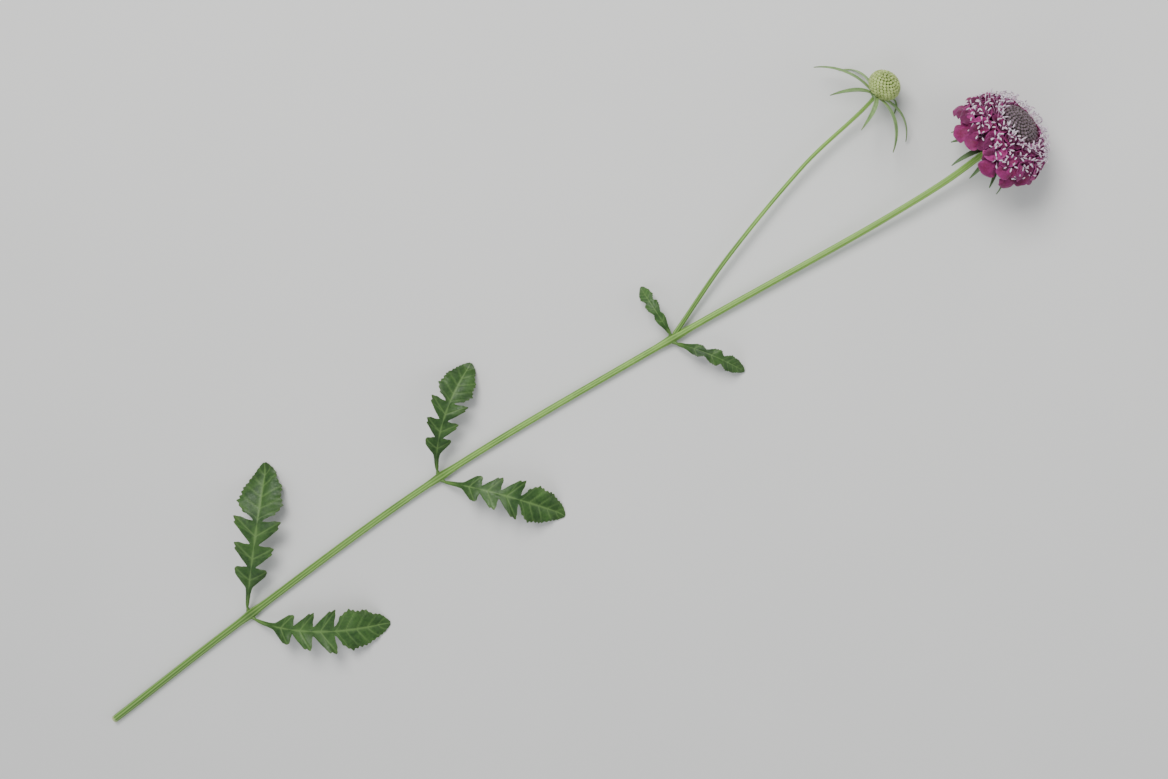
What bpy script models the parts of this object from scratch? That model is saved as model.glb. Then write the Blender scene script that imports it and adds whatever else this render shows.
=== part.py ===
"""A cut scabiosa stem in flower, lying on its side: bloom, stem, leaves and one side bud.

Metres, +Z up. The stem runs along X, with its cut end at -X and the bloom at +X, and the
surface that it lies on is z = 0. The head and the bud are modelled in frames of their own,
whose Z is the axis of the flower and whose Y points up from the surface.
"""

import math

import bmesh
import bpy
from mathutils import Matrix, Vector

GOLDEN_ANGLE = math.pi * (3 - math.sqrt(5))
UP = Vector((0, 0, 1))
GAP = 0.0003

# The main stem, from its cut end to the underside of the head
STEM_ROUTE = (
    (-0.3250, -0.0210, 0.00205),
    (-0.2050, -0.0120, 0.00225),
    (-0.0550, -0.0050, 0.00240),
    (0.1030, -0.0110, 0.00290),
    (0.2350, -0.0190, 0.00690),
)
STEM_CUT_RADIUS = 0.0022
STEM_NECK_RADIUS = 0.0016
STEM_SIDES = 8
STEM_RIDGE = 0.05
NODE_SWELLING = 0.32
NODE_SWELLING_LENGTH = 0.0065
NECK_REACH = 0.075

# The head: where its axis meets the top of the involucre, and how it leans
HEAD_BASE = Vector((0.2986, -0.0170, 0.0213))
HEAD_TILT = math.radians(30)
HEAD_YAW = math.radians(7)

# The dome that the throats of the open florets lie on
THROAT_RADIUS = 0.0190
THROAT_HEIGHT = 0.0125
THROAT_CENTRE_Z = 0.0050
OUTER_FLORETS = 21
OUTER_FLORET_ANGLES = (math.radians(88), math.radians(70))
INNER_RINGS = (math.radians(60.5), math.radians(44.5))
INNER_RING_FLORETS = 17
FLORETS = OUTER_FLORETS + len(INNER_RINGS) * INNER_RING_FLORETS
LONGEST_LOBE = 0.0128
SHORTEST_LOBE = 0.0043
LOBES = 5
PETAL_THICKNESS = 0.0006
CORE_DEPTH = 0.0004
FLORET_ROOT_RADIUS = 0.0011
FLORET_ROOT_HEIGHT = 0.0006
FLORET_FLOOR = 0.0010

# The unopened florets in the middle of the head
CENTRE_RADIUS = 0.0112
CENTRE_BASE_Z = 0.0156
CENTRE_HEIGHT = 0.0058
CENTRE_BRIM = 0.0122
CENTRE_KNOBS = 84

# The stamens that stand out of the inner florets
STAMEN_REACH = 0.0066
ANTHER_LENGTH = 0.0022
STAMEN_RADIUS = 0.0004

# The green ring under the head
BRACTS = 11
BRACT_LENGTH = 0.0205
BRACT_HALF_WIDTH = 0.0014
BLADE_THICKNESS = 0.0007

# The side shoot and its bud
SHOOT_ROUTE = (
    (0.1085, -0.0072, 0.0036),
    (0.1540, 0.0100, 0.0068),
    (0.2130, 0.0280, 0.0072),
)
SHOOT_BASE_RADIUS = 0.0013
SHOOT_NECK_RADIUS = 0.0010
SHOOT_SIDES = 6
BUD_BASE = Vector((0.2640, 0.0375, 0.0125))
BUD_TILT = math.radians(24)
BUD_YAW = math.radians(16)
BUD_RADIUS = 0.0082
BUD_KNOBS = 84
BUD_BRACTS = 8
BUD_BRACT_LENGTH = 0.0300
BUD_BRACT_HALF_WIDTH = 0.0013

# Leaves: a pair at each of three nodes of the stem
LEAF_THICKNESS = 0.0007
PETIOLE_HALF_WIDTH = 0.0013
LOBE_SWEEP = 0.65
TABLE_SOFTNESS = 0.0018


def wobble(index, salt):
    """A fixed, scattered number from -1 to 1 for the index."""
    return math.modf(abs(math.sin(index * 12.9898 + salt * 78.233)) * 43758.5453)[0] * 2 - 1


def smooth(x):
    """0 below 0, 1 above 1, and a smooth rise between."""
    x = min(max(x, 0.0), 1.0)
    return x * x * (3 - 2 * x)


def mix(a, b, t):
    return a + (b - a) * t


def laid(point, clearance):
    """The point, bent up where it would come closer to the surface than the clearance."""
    depth = point.z - clearance
    if depth >= TABLE_SOFTNESS:
        return point
    height = clearance + TABLE_SOFTNESS * math.exp((depth - TABLE_SOFTNESS) / TABLE_SOFTNESS)
    return Vector((point.x, point.y, height))


def flower_frame(base, tilt, yaw):
    """Turns local points, Z along the flower's axis and Y upwards, into world points."""
    axis = Vector((math.cos(tilt) * math.cos(yaw), math.cos(tilt) * math.sin(yaw), math.sin(tilt)))
    side = Vector((-math.sin(yaw), math.cos(yaw), 0))
    rise = axis.cross(side)
    return Matrix.Translation(base) @ Matrix((side, rise, axis)).transposed().to_4x4()


def material(name, colour, roughness):
    made = bpy.data.materials.new(name)
    made.use_nodes = True
    shader = made.node_tree.nodes["Principled BSDF"]
    shader.inputs["Base Color"].default_value = (*colour, 1)
    shader.inputs["Roughness"].default_value = roughness
    shader.inputs["Metallic"].default_value = 0.0
    made.diffuse_color = (*colour, 1)
    return made


def new_object(name, bm, finish=None, round_angle=math.radians(50)):
    """An object of the mesh that was built, smooth except at its sharp edges."""
    mesh = bpy.data.meshes.new(name)
    bm.to_mesh(mesh)
    bm.free()
    mesh.shade_smooth()
    mesh.set_sharp_from_angle(angle=round_angle)
    if finish:
        mesh.materials.append(finish)
    made = bpy.data.objects.new(name, mesh)
    bpy.context.scene.collection.objects.link(made)
    return made


def sheet_normals(points, triangles):
    normals = [Vector((0, 0, 0)) for _ in points]
    for a, b, c in triangles:
        across = (points[b] - points[a]).cross(points[c] - points[a])
        for corner in (a, b, c):
            normals[corner] += across
    return [normal.normalized() for normal in normals]


def thick_sheet(points, triangles, thickness):
    """A closed blade round the sheet of triangles, both of its faces split alike.

    thickness is one number, or a list with a number for each point.
    """
    if not isinstance(thickness, list):
        thickness = [thickness] * len(points)
    normals = sheet_normals(points, triangles)
    bm = bmesh.new()
    upper = [bm.verts.new(p + n * t / 2) for p, n, t in zip(points, normals, thickness)]
    lower = [bm.verts.new(p - n * t / 2) for p, n, t in zip(points, normals, thickness)]
    edges = set()
    for a, b, c in triangles:
        bm.faces.new((upper[a], upper[b], upper[c]))
        bm.faces.new((lower[c], lower[b], lower[a]))
        edges |= {(a, b), (b, c), (c, a)}
    for a, b in sorted(edges):
        if (b, a) not in edges:
            bm.faces.new((upper[b], upper[a], lower[a]))
            bm.faces.new((upper[b], lower[a], lower[b]))
    return bm


def grid_triangles(rows, columns):
    """Triangles of a grid of points, counted row by row."""
    found = []
    for row in range(rows - 1):
        for column in range(columns - 1):
            a = row * columns + column
            b = a + 1
            c = a + columns
            d = c + 1
            if column < (columns - 1) / 2:
                found += [(a, b, d), (a, d, c)]
            else:
                found += [(a, b, c), (b, d, c)]
    return found


def route(points, last_tangent, steps):
    """Points on a smooth curve through the given ones, with steps to each stretch."""
    knots = [Vector(p) for p in points]
    tangents = [knots[1] - knots[0]]
    for before, after in zip(knots, knots[2:]):
        tangents.append((after - before) / 2)
    tangents.append(last_tangent)
    found = []
    for index in range(len(knots) - 1):
        start, end = knots[index], knots[index + 1]
        for step in range(steps):
            t = step / steps
            found.append(
                start * (2 * t**3 - 3 * t**2 + 1)
                + tangents[index] * (t**3 - 2 * t**2 + t)
                + end * (3 * t**2 - 2 * t**3)
                + tangents[index + 1] * (t**3 - t**2)
            )
    return found + [knots[-1]]


def ridged_tube(points, radii, sides, ridge, end_axis):
    """A closed tube along the points, with ribs along it and no lower than the surface."""
    bm = bmesh.new()
    rings = []
    across = UP.cross(points[1] - points[0]).normalized()
    for index, (point, radius) in enumerate(zip(points, radii)):
        before = points[max(index - 1, 0)]
        after = points[min(index + 1, len(points) - 1)]
        along = end_axis if index == len(points) - 1 else (after - before).normalized()
        across = (across - along * across.dot(along)).normalized()
        over = along.cross(across)
        ring = []
        for side in range(sides):
            turn = 2 * math.pi * (side + 0.5) / sides
            reach = radius * (1 + ridge * (-1) ** side)
            corner = point + (across * math.cos(turn) + over * math.sin(turn)) * reach
            corner.z = max(corner.z, 0.0)
            ring.append(bm.verts.new(corner))
        rings.append(ring)
    for low, high in zip(rings, rings[1:]):
        for side in range(sides):
            beside = (side + 1) % sides
            bm.faces.new((low[side], low[beside], high[beside], high[side]))
    bm.faces.new(rings[0][::-1])
    bm.faces.new(rings[-1])
    bmesh.ops.triangulate(bm, faces=bm.faces)
    return bm


def turned(profile, sides, place):
    """A solid of revolution round local Z. The profile runs up from the axis to the axis."""
    bm = bmesh.new()
    rings = []
    for radius, height in profile[1:-1]:
        ring = []
        for side in range(sides):
            turn = 2 * math.pi * side / sides
            ring.append(bm.verts.new((radius * math.cos(turn), radius * math.sin(turn), height)))
        rings.append(ring)
    bottom = bm.verts.new((0, 0, profile[0][1]))
    top = bm.verts.new((0, 0, profile[-1][1]))
    for side in range(sides):
        beside = (side + 1) % sides
        bm.faces.new((bottom, rings[0][beside], rings[0][side]))
        bm.faces.new((top, rings[-1][side], rings[-1][beside]))
        for low, high in zip(rings, rings[1:]):
            bm.faces.new((low[side], low[beside], high[beside], high[side]))
    bmesh.ops.triangulate(bm, faces=bm.faces)
    bmesh.ops.transform(bm, matrix=place, verts=bm.verts)
    return bm


def apply_boolean(body, operation, other):
    """Joins or cuts the body with an object or a collection, then keeps its outer shell."""
    tool = body.modifiers.new("tool", "BOOLEAN")
    tool.operation = operation
    tool.solver = "MANIFOLD"
    if isinstance(other, bpy.types.Collection):
        tool.operand_type = "COLLECTION"
        tool.collection = other
    else:
        tool.object = other
    graph = bpy.context.evaluated_depsgraph_get()
    joined = bpy.data.meshes.new_from_object(body.evaluated_get(graph))
    body.modifiers.clear()
    body.data = joined
    keep_outer_shell(joined)


def keep_outer_shell(mesh):
    """Drops loose scraps, and fills hollows by dropping their walls."""
    bm = bmesh.new()
    bm.from_mesh(mesh)
    bmesh.ops.triangulate(bm, faces=bm.faces)
    unseen = set(bm.faces)
    shells = []
    while unseen:
        front = [unseen.pop()]
        shell = list(front)
        while front:
            face = front.pop()
            for edge in face.edges:
                for beside in edge.link_faces:
                    if beside in unseen:
                        unseen.discard(beside)
                        front.append(beside)
                        shell.append(beside)
        shells.append(shell)
    shells.sort(key=len)
    for shell in shells[:-1]:
        bmesh.ops.delete(bm, geom=shell, context="FACES")
    bm.to_mesh(mesh)
    bm.free()


def fuse(body, pieces):
    """Joins the pieces to the body in one solid and removes them."""
    group = bpy.data.collections.new("pieces")
    bpy.context.scene.collection.children.link(group)
    for piece in pieces:
        bpy.context.scene.collection.objects.unlink(piece)
        group.objects.link(piece)
    apply_boolean(body, "UNION", group)
    for piece in pieces:
        bpy.data.objects.remove(piece)
    bpy.data.collections.remove(group)


def cut_level(body):
    """Cuts off what reaches below the surface, which leaves flat spots to rest on."""
    bm = bmesh.new()
    depth = 0.01
    bmesh.ops.create_cube(bm, size=1)
    bmesh.ops.transform(bm, matrix=Matrix.Diagonal((1.2, 0.6, depth, 1)), verts=bm.verts)
    bmesh.ops.translate(bm, vec=(0, 0, -depth / 2), verts=bm.verts)
    slab = new_object("slab", bm)
    apply_boolean(body, "DIFFERENCE", slab)
    bpy.data.objects.remove(slab)


def lobe_outline(v):
    """Half width of a petal lobe along its length, as a share of its greatest."""
    widest = 0.74
    if v < widest:
        return mix(0.30, 1.0, (v / widest) ** 1.3)
    return math.sqrt(max(1 - ((v - widest) / (1.02 - widest)) ** 2, 0.0))


class Floret:
    """One open floret: a funnel on the dome that spreads into five lobes, the outer one longest."""

    def __init__(self, index):
        self.outer = index < OUTER_FLORETS
        if self.outer:
            share = index / (OUTER_FLORETS - 1)
            first, last = OUTER_FLORET_ANGLES
            self.angle = math.acos(mix(math.cos(first), math.cos(last), share))
            turn = index * GOLDEN_ANGLE + 0.08 * wobble(index, 2)
        else:
            ring, place = divmod(index - OUTER_FLORETS, INNER_RING_FLORETS)
            self.angle = INNER_RINGS[ring] + 0.012 * wobble(index, 1)
            turn = 2 * math.pi * (place + ring / 2) / INNER_RING_FLORETS + 0.02 * wobble(index, 2)
        outwards = Vector((math.cos(turn), math.sin(turn), 0))
        sine, cosine = math.sin(self.angle), math.cos(self.angle)
        self.throat = outwards * THROAT_RADIUS * sine
        self.throat.z = THROAT_CENTRE_Z + THROAT_HEIGHT * cosine
        self.normal = outwards * (sine / THROAT_RADIUS) + UP * (cosine / THROAT_HEIGHT)
        self.normal.normalize()
        self.across = self.normal.cross(outwards).normalized()
        self.away = self.across.cross(self.normal)
        self.index = index
        self.grown = mix(1.0, 0.62, share) if self.outer else 0.0
        self.length = mix(SHORTEST_LOBE, LONGEST_LOBE, self.grown)

    def lobe_turn(self, k):
        """The heading of lobe k round the throat: the two small lobes of an outer floret stand closer."""
        k = k % LOBES
        spread = (0, 6, 7, -7, -6)[k] * self.grown
        return 2 * math.pi * k / LOBES + math.radians(spread) + 0.12 * wobble(self.index, 3)

    def lobe(self, k, u, v):
        """A point of lobe k: u runs across it from -1 to 1 and v along it from 0 to 1."""
        turn = self.lobe_turn(k)
        outer = (1 + math.cos(turn)) / 2
        length = self.length * mix(mix(1.0, 0.46, self.grown), 1, outer)
        length *= 1 + 0.07 * wobble(self.index * LOBES + k % LOBES, 4)
        half_width = length * mix(0.26, mix(0.24, 0.37, outer), self.grown)
        heading = self.away * math.cos(turn) + self.across * math.sin(turn)
        beside = self.across * math.cos(turn) - self.away * math.sin(turn)
        first = math.radians(mix(16, 20, self.grown))
        last = math.radians(mix(62, mix(66, 94, outer), self.grown))
        last += 0.14 * wobble(self.index * LOBES + k % LOBES, 5)
        swing = last - first
        now = first + swing * v
        reach = length * (math.cos(first) - math.cos(now)) / swing
        rise = length * (math.sin(now) - math.sin(first)) / swing
        facing = self.normal * math.sin(now) - heading * math.cos(now)
        bulge = mix(-0.14, 0.30, self.grown * smooth(v * 1.3))
        point = self.throat + heading * reach + self.normal * rise
        point += beside * u * half_width * lobe_outline(v)
        return point - facing * bulge * u * u * half_width * lobe_outline(v)


def floret_sheet(floret):
    """Points and triangles of a floret's funnel and lobes: the throat, then five valleys, then the lobes."""
    valley_at = 0.38 if floret.outer else 0.60
    points = [floret.throat.copy()]
    triangles = []
    for k in range(LOBES):
        points.append((floret.lobe(k, -1, valley_at) + floret.lobe(k - 1, 1, valley_at)) / 2)
    for k in range(LOBES):
        large = floret.outer and k not in (2, 3)
        if large:
            outline = ((-1, 0.68), (-1, 0.92), (0, 1.0), (1, 0.92), (1, 0.68))
        else:
            outline = ((-1, 0.86), (1, 0.86))
        rim = [1 + k]
        for u, v in outline:
            rim.append(len(points))
            points.append(floret.lobe(k, u, v))
        rim.append(1 + (k + 1) % LOBES)
        if large:
            middle = len(points)
            points.append(floret.lobe(k, 0, 0.62))
            triangles.append((0, rim[0], middle))
            triangles += [(a, b, middle) for a, b in zip(rim, rim[1:])]
            triangles.append((rim[-1], 0, middle))
        else:
            triangles += [(0, a, b) for a, b in zip(rim, rim[1:])]
    return points, triangles


def outer_floret_piece(floret, place):
    points, triangles = floret_sheet(floret)
    clearance = PETAL_THICKNESS / 2 - 0.0002
    points = [laid(place @ point, clearance) for point in points]
    return new_object("floret", thick_sheet(points, triangles, PETAL_THICKNESS))


def ring_round(floret, radius, height):
    """Five points round a floret's axis, in line with the valleys between its lobes."""
    found = []
    for k in range(LOBES):
        turn = (floret.lobe_turn(k) + floret.lobe_turn(k - 1) - 2 * math.pi * (k == 0)) / 2
        out = floret.away * math.cos(turn) + floret.across * math.sin(turn)
        found.append(floret.throat + out * radius + floret.normal * height)
    return found


def hull(bm):
    """Closes the points in their convex hull, split into triangles that face out."""
    made = bmesh.ops.convex_hull(bm, input=bm.verts)
    spare = [item for item in made["geom_interior"] if isinstance(item, bmesh.types.BMVert)]
    bmesh.ops.delete(bm, geom=spare, context="VERTS")
    bmesh.ops.triangulate(bm, faces=bm.faces)
    bmesh.ops.recalc_face_normals(bm, faces=bm.faces)
    bm.normal_update()


def heart_points():
    """The rings of points that the solid heart of the head is hulled from."""
    found = []
    rings = [(0.0045, GAP, 12), (0.0125, 0.0024, 16), (0.0172, 0.0050, 20)]
    brim = math.radians(82)
    radius = (THROAT_RADIUS + CORE_DEPTH) * math.sin(brim)
    rings.append((radius, THROAT_CENTRE_Z + (THROAT_HEIGHT + CORE_DEPTH) * math.cos(brim), 22))
    rings.append((CENTRE_RADIUS + 0.0005, CENTRE_BASE_Z - GAP, 18))
    for radius, height, sides in rings:
        for side in range(sides):
            turn = 2 * math.pi * (side + 0.5) / sides
            found.append(Vector((radius * math.cos(turn), radius * math.sin(turn), height)))
    return found


def grow_inner_floret(bm, floret, roots):
    """Builds a floret and its stamen on the ring of root vertices, whose face it takes away."""
    own = set(roots)
    covered = {face for root in roots for face in root.link_faces if own.issuperset(face.verts)}
    bmesh.ops.delete(bm, geom=list(covered), context="FACES_ONLY")
    loose = {edge for root in roots for edge in root.link_edges if not edge.link_faces}
    bmesh.ops.delete(bm, geom=list(loose), context="EDGES")
    points, triangles = floret_sheet(floret)
    normals = sheet_normals(points, triangles)
    offset = PETAL_THICKNESS / 2
    lower = [None] + [bm.verts.new(p - n * offset) for p, n in zip(points[1:], normals[1:])]
    upper = [None] + [bm.verts.new(p + n * offset) for p, n in zip(points[1:], normals[1:])]
    floor = [bm.verts.new(p) for p in ring_round(floret, STAMEN_RADIUS, FLORET_FLOOR)]
    for k in range(LOBES):
        after = (k + 1) % LOBES
        first = 1 + LOBES + 2 * k
        rim = (1 + k, first, first + 1, 1 + after)
        for sheet, inner, turned_over in ((lower, roots, False), (upper, floor, True)):
            low, left, right, high = (sheet[index] for index in rim)
            faces = [
                (inner[k], inner[after], right),
                (inner[k], right, left),
                (inner[k], left, low),
                (inner[after], high, right),
            ]
            for face in faces:
                bm.faces.new(face[::-1] if turned_over else face)
        for a, b in zip(rim, rim[1:]):
            bm.faces.new((lower[a], lower[b], upper[b]))
            bm.faces.new((lower[a], upper[b], upper[a]))
    grow_stamen(bm, floret, floor)


def grow_stamen(bm, floret, floor):
    """A filament up from the floor of the funnel, bent over at its end into the anther."""
    turn = GOLDEN_ANGLE * 2 * floret.index
    lean = floret.away * math.cos(turn) + floret.across * math.sin(turn)
    reach = STAMEN_REACH * (1 + 0.16 * wobble(floret.index, 6))
    knee = ring_round(floret, STAMEN_RADIUS * 0.9, reach)
    bend = (floret.normal * 0.45 + lean).normalized()
    along = (floret.normal + bend).normalized()
    centre = sum(knee, Vector()) / LOBES
    knee = [p - along * (p - centre).dot(along) for p in knee]
    tip = [p + bend * ANTHER_LENGTH - bend * (p - centre).dot(bend) for p in knee]
    rings = [floor, [bm.verts.new(p) for p in knee], [bm.verts.new(p) for p in tip]]
    for low, high in zip(rings, rings[1:]):
        for k in range(LOBES):
            after = (k + 1) % LOBES
            bm.faces.new((low[k], low[after], high[after]))
            bm.faces.new((low[k], high[after], high[k]))
    bm.faces.new(rings[-1])


def build_bloom(finish):
    place = flower_frame(HEAD_BASE, HEAD_TILT, HEAD_YAW)
    florets = [Floret(index) for index in range(FLORETS)]
    bm = bmesh.new()
    for point in heart_points():
        bm.verts.new(point)
    roots = {}
    for floret in florets[OUTER_FLORETS:]:
        ring = ring_round(floret, FLORET_ROOT_RADIUS, FLORET_ROOT_HEIGHT)
        roots[floret.index] = [bm.verts.new(point) for point in ring]
    hull(bm)
    for floret in florets[OUTER_FLORETS:]:
        grow_inner_floret(bm, floret, roots[floret.index])
    bmesh.ops.triangulate(bm, faces=bm.faces)
    bmesh.ops.transform(bm, matrix=place, verts=bm.verts)
    bloom = new_object("bloom", bm, finish)
    fuse(bloom, [outer_floret_piece(floret, place) for floret in florets[:OUTER_FLORETS]])
    cut_level(bloom)


def knobbly_dome(spots, hollow, place):
    """A closed solid through the spots, pressed in between them so that each stands as a knob."""
    bm = bmesh.new()
    for spot in spots:
        bm.verts.new(spot)
    hull(bm)
    sides = [face for face in bm.faces if face.normal.z > -0.6]
    bmesh.ops.poke(bm, faces=sides, offset=-hollow)
    bmesh.ops.transform(bm, matrix=place, verts=bm.verts)
    return bm


def build_centre(finish):
    spots = []
    for index in range(CENTRE_KNOBS):
        share = (index + 0.5) / CENTRE_KNOBS
        radius = CENTRE_BRIM * math.sqrt(share)
        height = CENTRE_BASE_Z + CENTRE_HEIGHT * (1 - 0.72 * share**1.6)
        turn = index * GOLDEN_ANGLE
        spots.append((radius * math.cos(turn), radius * math.sin(turn), height))
    for side in range(16):
        turn = 2 * math.pi * side / 16
        rim = CENTRE_RADIUS * 0.94
        spots.append((rim * math.cos(turn), rim * math.sin(turn), CENTRE_BASE_Z))
    place = flower_frame(HEAD_BASE, HEAD_TILT, HEAD_YAW)
    new_object("centre_buds", knobbly_dome(spots, 0.0005, place), finish, math.radians(20))


def build_bud(finish):
    spots = []
    middle = 0.0064
    squash = 0.78
    lowest = -0.80
    for index in range(BUD_KNOBS):
        level = mix(1, lowest, (index + 0.5) / BUD_KNOBS)
        ring = math.sqrt(1 - level * level)
        turn = index * GOLDEN_ANGLE
        height = middle + BUD_RADIUS * squash * level
        spots.append((BUD_RADIUS * ring * math.cos(turn), BUD_RADIUS * ring * math.sin(turn), height))
    place = flower_frame(BUD_BASE, BUD_TILT, BUD_YAW)
    new_object("bud", knobbly_dome(spots, 0.0004, place), finish, math.radians(20))


def bract_piece(place, turn, length, half_width, root, first, last, start_z):
    """A narrow blade that starts inside the ring and curves back from the flower's axis."""
    outwards = Vector((math.cos(turn), math.sin(turn), 0))
    beside = Vector((-math.sin(turn), math.cos(turn), 0))
    rows = (0.0, 0.18, 0.36, 0.54, 0.70, 0.84, 0.94, 1.0)
    widths = (0.62, 0.92, 1.0, 0.96, 0.80, 0.56, 0.30, 0.12)
    points = []
    for t, width in zip(rows, widths):
        swing = last - first
        now = first + swing * t**1.25
        reach = length * t * math.sin((first + now) / 2)
        rise = length * t * math.cos((first + now) / 2)
        centre = outwards * (root + reach) + UP * (start_z + rise)
        facing = UP * math.sin(now) - outwards * math.cos(now)
        for u in (-1, 0, 1):
            point = centre + beside * u * half_width * width
            point += facing * abs(u) * half_width * width * 0.30
            points.append(laid(place @ point, BLADE_THICKNESS / 2))
    triangles = [(a, c, b) for a, b, c in grid_triangles(len(rows), 3)]
    return new_object("bract", thick_sheet(points, triangles, BLADE_THICKNESS))


def build_involucre(finish):
    place = flower_frame(HEAD_BASE, HEAD_TILT, HEAD_YAW)
    profile = [(0, -0.0030), (0.0019, -0.0030), (0.0032, -0.0023), (0.0046, -0.0008), (0.0049, 0), (0, 0)]
    ring = new_object("involucre", turned(profile, 16, place), finish)
    pieces = []
    for index in range(BRACTS):
        turn = 2 * math.pi * (index + 0.5) / BRACTS + math.radians(90)
        down = smooth(-math.sin(turn) * 1.6 - 0.4)
        length = BRACT_LENGTH * (1 + 0.10 * wobble(index, 7)) * mix(1, 0.80, down)
        last = math.radians(158 + 14 * wobble(index, 8))
        first = math.radians(mix(94, 102, down))
        pieces.append(
            bract_piece(place, turn, length, BRACT_HALF_WIDTH, 0.0034, first, last, -0.0012)
        )
    fuse(ring, pieces)


def build_bud_bracts(finish):
    place = flower_frame(BUD_BASE, BUD_TILT, BUD_YAW)
    profile = [
        (0, -0.0024), (0.0013, -0.0024), (0.0027, -0.0016),
        (0.0043, 0.0002), (0.0041, 0.0010), (0, 0.0010),
    ]
    ring = new_object("bud_bracts", turned(profile, 14, place), finish)
    pieces = []
    for index in range(BUD_BRACTS):
        turn = 2 * math.pi * (index + 0.3) / BUD_BRACTS
        down = smooth(-math.sin(turn) * 1.6 - 0.4)
        length = BUD_BRACT_LENGTH * (1 + 0.10 * wobble(index, 9)) * mix(1, 0.80, down)
        first = math.radians(78 + 5 * wobble(index, 10))
        last = math.radians(140 + 16 * wobble(index, 11))
        pieces.append(
            bract_piece(place, turn, length, BUD_BRACT_HALF_WIDTH, 0.0028, first, last, -0.0004)
        )
    fuse(ring, pieces)


def stem_centres():
    frame = flower_frame(HEAD_BASE, HEAD_TILT, HEAD_YAW)
    axis = frame.to_3x3() @ UP
    top = frame @ Vector((0, 0, -0.0030 - GAP))
    return route(STEM_ROUTE + (tuple(top),), axis * NECK_REACH, 8), axis


def stem_radius(x):
    along = (x - STEM_ROUTE[0][0]) / (HEAD_BASE.x - STEM_ROUTE[0][0])
    radius = mix(STEM_CUT_RADIUS, STEM_NECK_RADIUS, smooth(along) * 0.4 + along * 0.6)
    for knot in STEM_ROUTE[1:4]:
        away = (x - knot[0]) / NODE_SWELLING_LENGTH
        radius *= 1 + NODE_SWELLING * math.exp(-away * away)
    return radius


def build_stem(finish):
    points, axis = stem_centres()
    radii = [stem_radius(point.x) for point in points]
    new_object("stem", ridged_tube(points, radii, STEM_SIDES, STEM_RIDGE, axis), finish)


def build_side_shoot(finish):
    frame = flower_frame(BUD_BASE, BUD_TILT, BUD_YAW)
    axis = frame.to_3x3() @ UP
    top = frame @ Vector((0, 0, -0.0024 - GAP))
    points = route(SHOOT_ROUTE + (tuple(top),), axis * 0.05, 8)
    last = len(points) - 1
    radii = [mix(SHOOT_BASE_RADIUS, SHOOT_NECK_RADIUS, index / last) for index in range(last + 1)]
    new_object("side_shoot", ridged_tube(points, radii, SHOOT_SIDES, STEM_RIDGE, axis), finish)


class Leaf:
    """One leaf of a pair, from its foot at the stem to its tip on the surface."""

    def __init__(self, name, knot, side, length, half_width, pairs, yaw, pitch, roll):
        self.name = name
        self.knot = Vector(knot)
        self.side = side
        self.length = length
        self.half_width = half_width
        self.pairs = pairs
        self.yaw = yaw
        self.pitch = pitch
        self.roll = roll

    def rows(self):
        """Places along the midrib, with the half width there and how far the edge runs ahead of it."""
        narrow = PETIOLE_HALF_WIDTH
        found = [(0.0, narrow, 0.0), (0.06, narrow * 0.9, 0.0), (0.13, narrow, 0.0)]
        first, last = 0.17, 0.60
        pitch = (last - first) / max(self.pairs, 1)
        rachis = narrow * 1.5
        for pair in range(self.pairs):
            start = first + pair * pitch
            reach = self.half_width * mix(0.50, 0.92, (pair + 1) / self.pairs)
            found.append((start, rachis, LOBE_SWEEP))
            found.append((start + 0.30 * pitch, reach * 0.92, LOBE_SWEEP))
            found.append((start + 0.62 * pitch, reach, LOBE_SWEEP))
        found.append((last, rachis * 1.1, LOBE_SWEEP))
        blade = (
            (0.65, 0.60), (0.71, 0.92), (0.76, 0.80), (0.82, 0.78),
            (0.87, 0.56), (0.93, 0.42), (1.0, 0.07),
        )
        for t, width in blade:
            found.append((t, self.half_width * width, 0.10))
        return found

    def heading(self, t):
        yaw = math.radians(mix(*self.yaw, t)) * self.side
        pitch = math.radians(mix(*self.pitch, t))
        return Vector((math.cos(yaw) * math.cos(pitch), math.sin(yaw) * math.cos(pitch), math.sin(pitch)))

    def foot(self):
        """Where the leaf starts, clear of the stem by the usual gap."""
        heading = self.heading(0)
        radius = stem_radius(self.knot.x)
        clear = radius * (1 + STEM_RIDGE) + GAP + PETIOLE_HALF_WIDTH * abs(heading.x) + 0.0004
        return self.knot + Vector((0.0, clear * self.side, 0.0008))

    def sheet(self):
        points = []
        thickness = []
        spot = self.foot()
        done = 0.0
        for t, width, ahead in self.rows():
            steps = 4
            for step in range(steps):
                middle = mix(done, t, (step + 0.5) / steps)
                spot = spot + self.heading(middle) * self.length * (t - done) / steps
            done = t
            heading = self.heading(t)
            lean = math.radians(mix(*self.roll, t)) * self.side
            across = UP.cross(heading).normalized()
            across = Matrix.Rotation(lean, 3, heading) @ across
            facing = heading.cross(across)
            for u in (-1, -0.5, 0, 0.5, 1):
                point = spot + across * u * width + heading * abs(u) * ahead * width
                fold = 0.20 * abs(u) - 0.16 * u * u
                wave = 0.10 * math.sin(9 * t + 2.2 * u) * abs(u)
                point += facing * (fold + wave) * width
                thick = LEAF_THICKNESS + 0.0009 * (1 - abs(u)) ** 2 * (1 - t)
                points.append(laid(point, thick / 2))
                thickness.append(thick)
        return points, grid_triangles(len(self.rows()), 5), thickness


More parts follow.
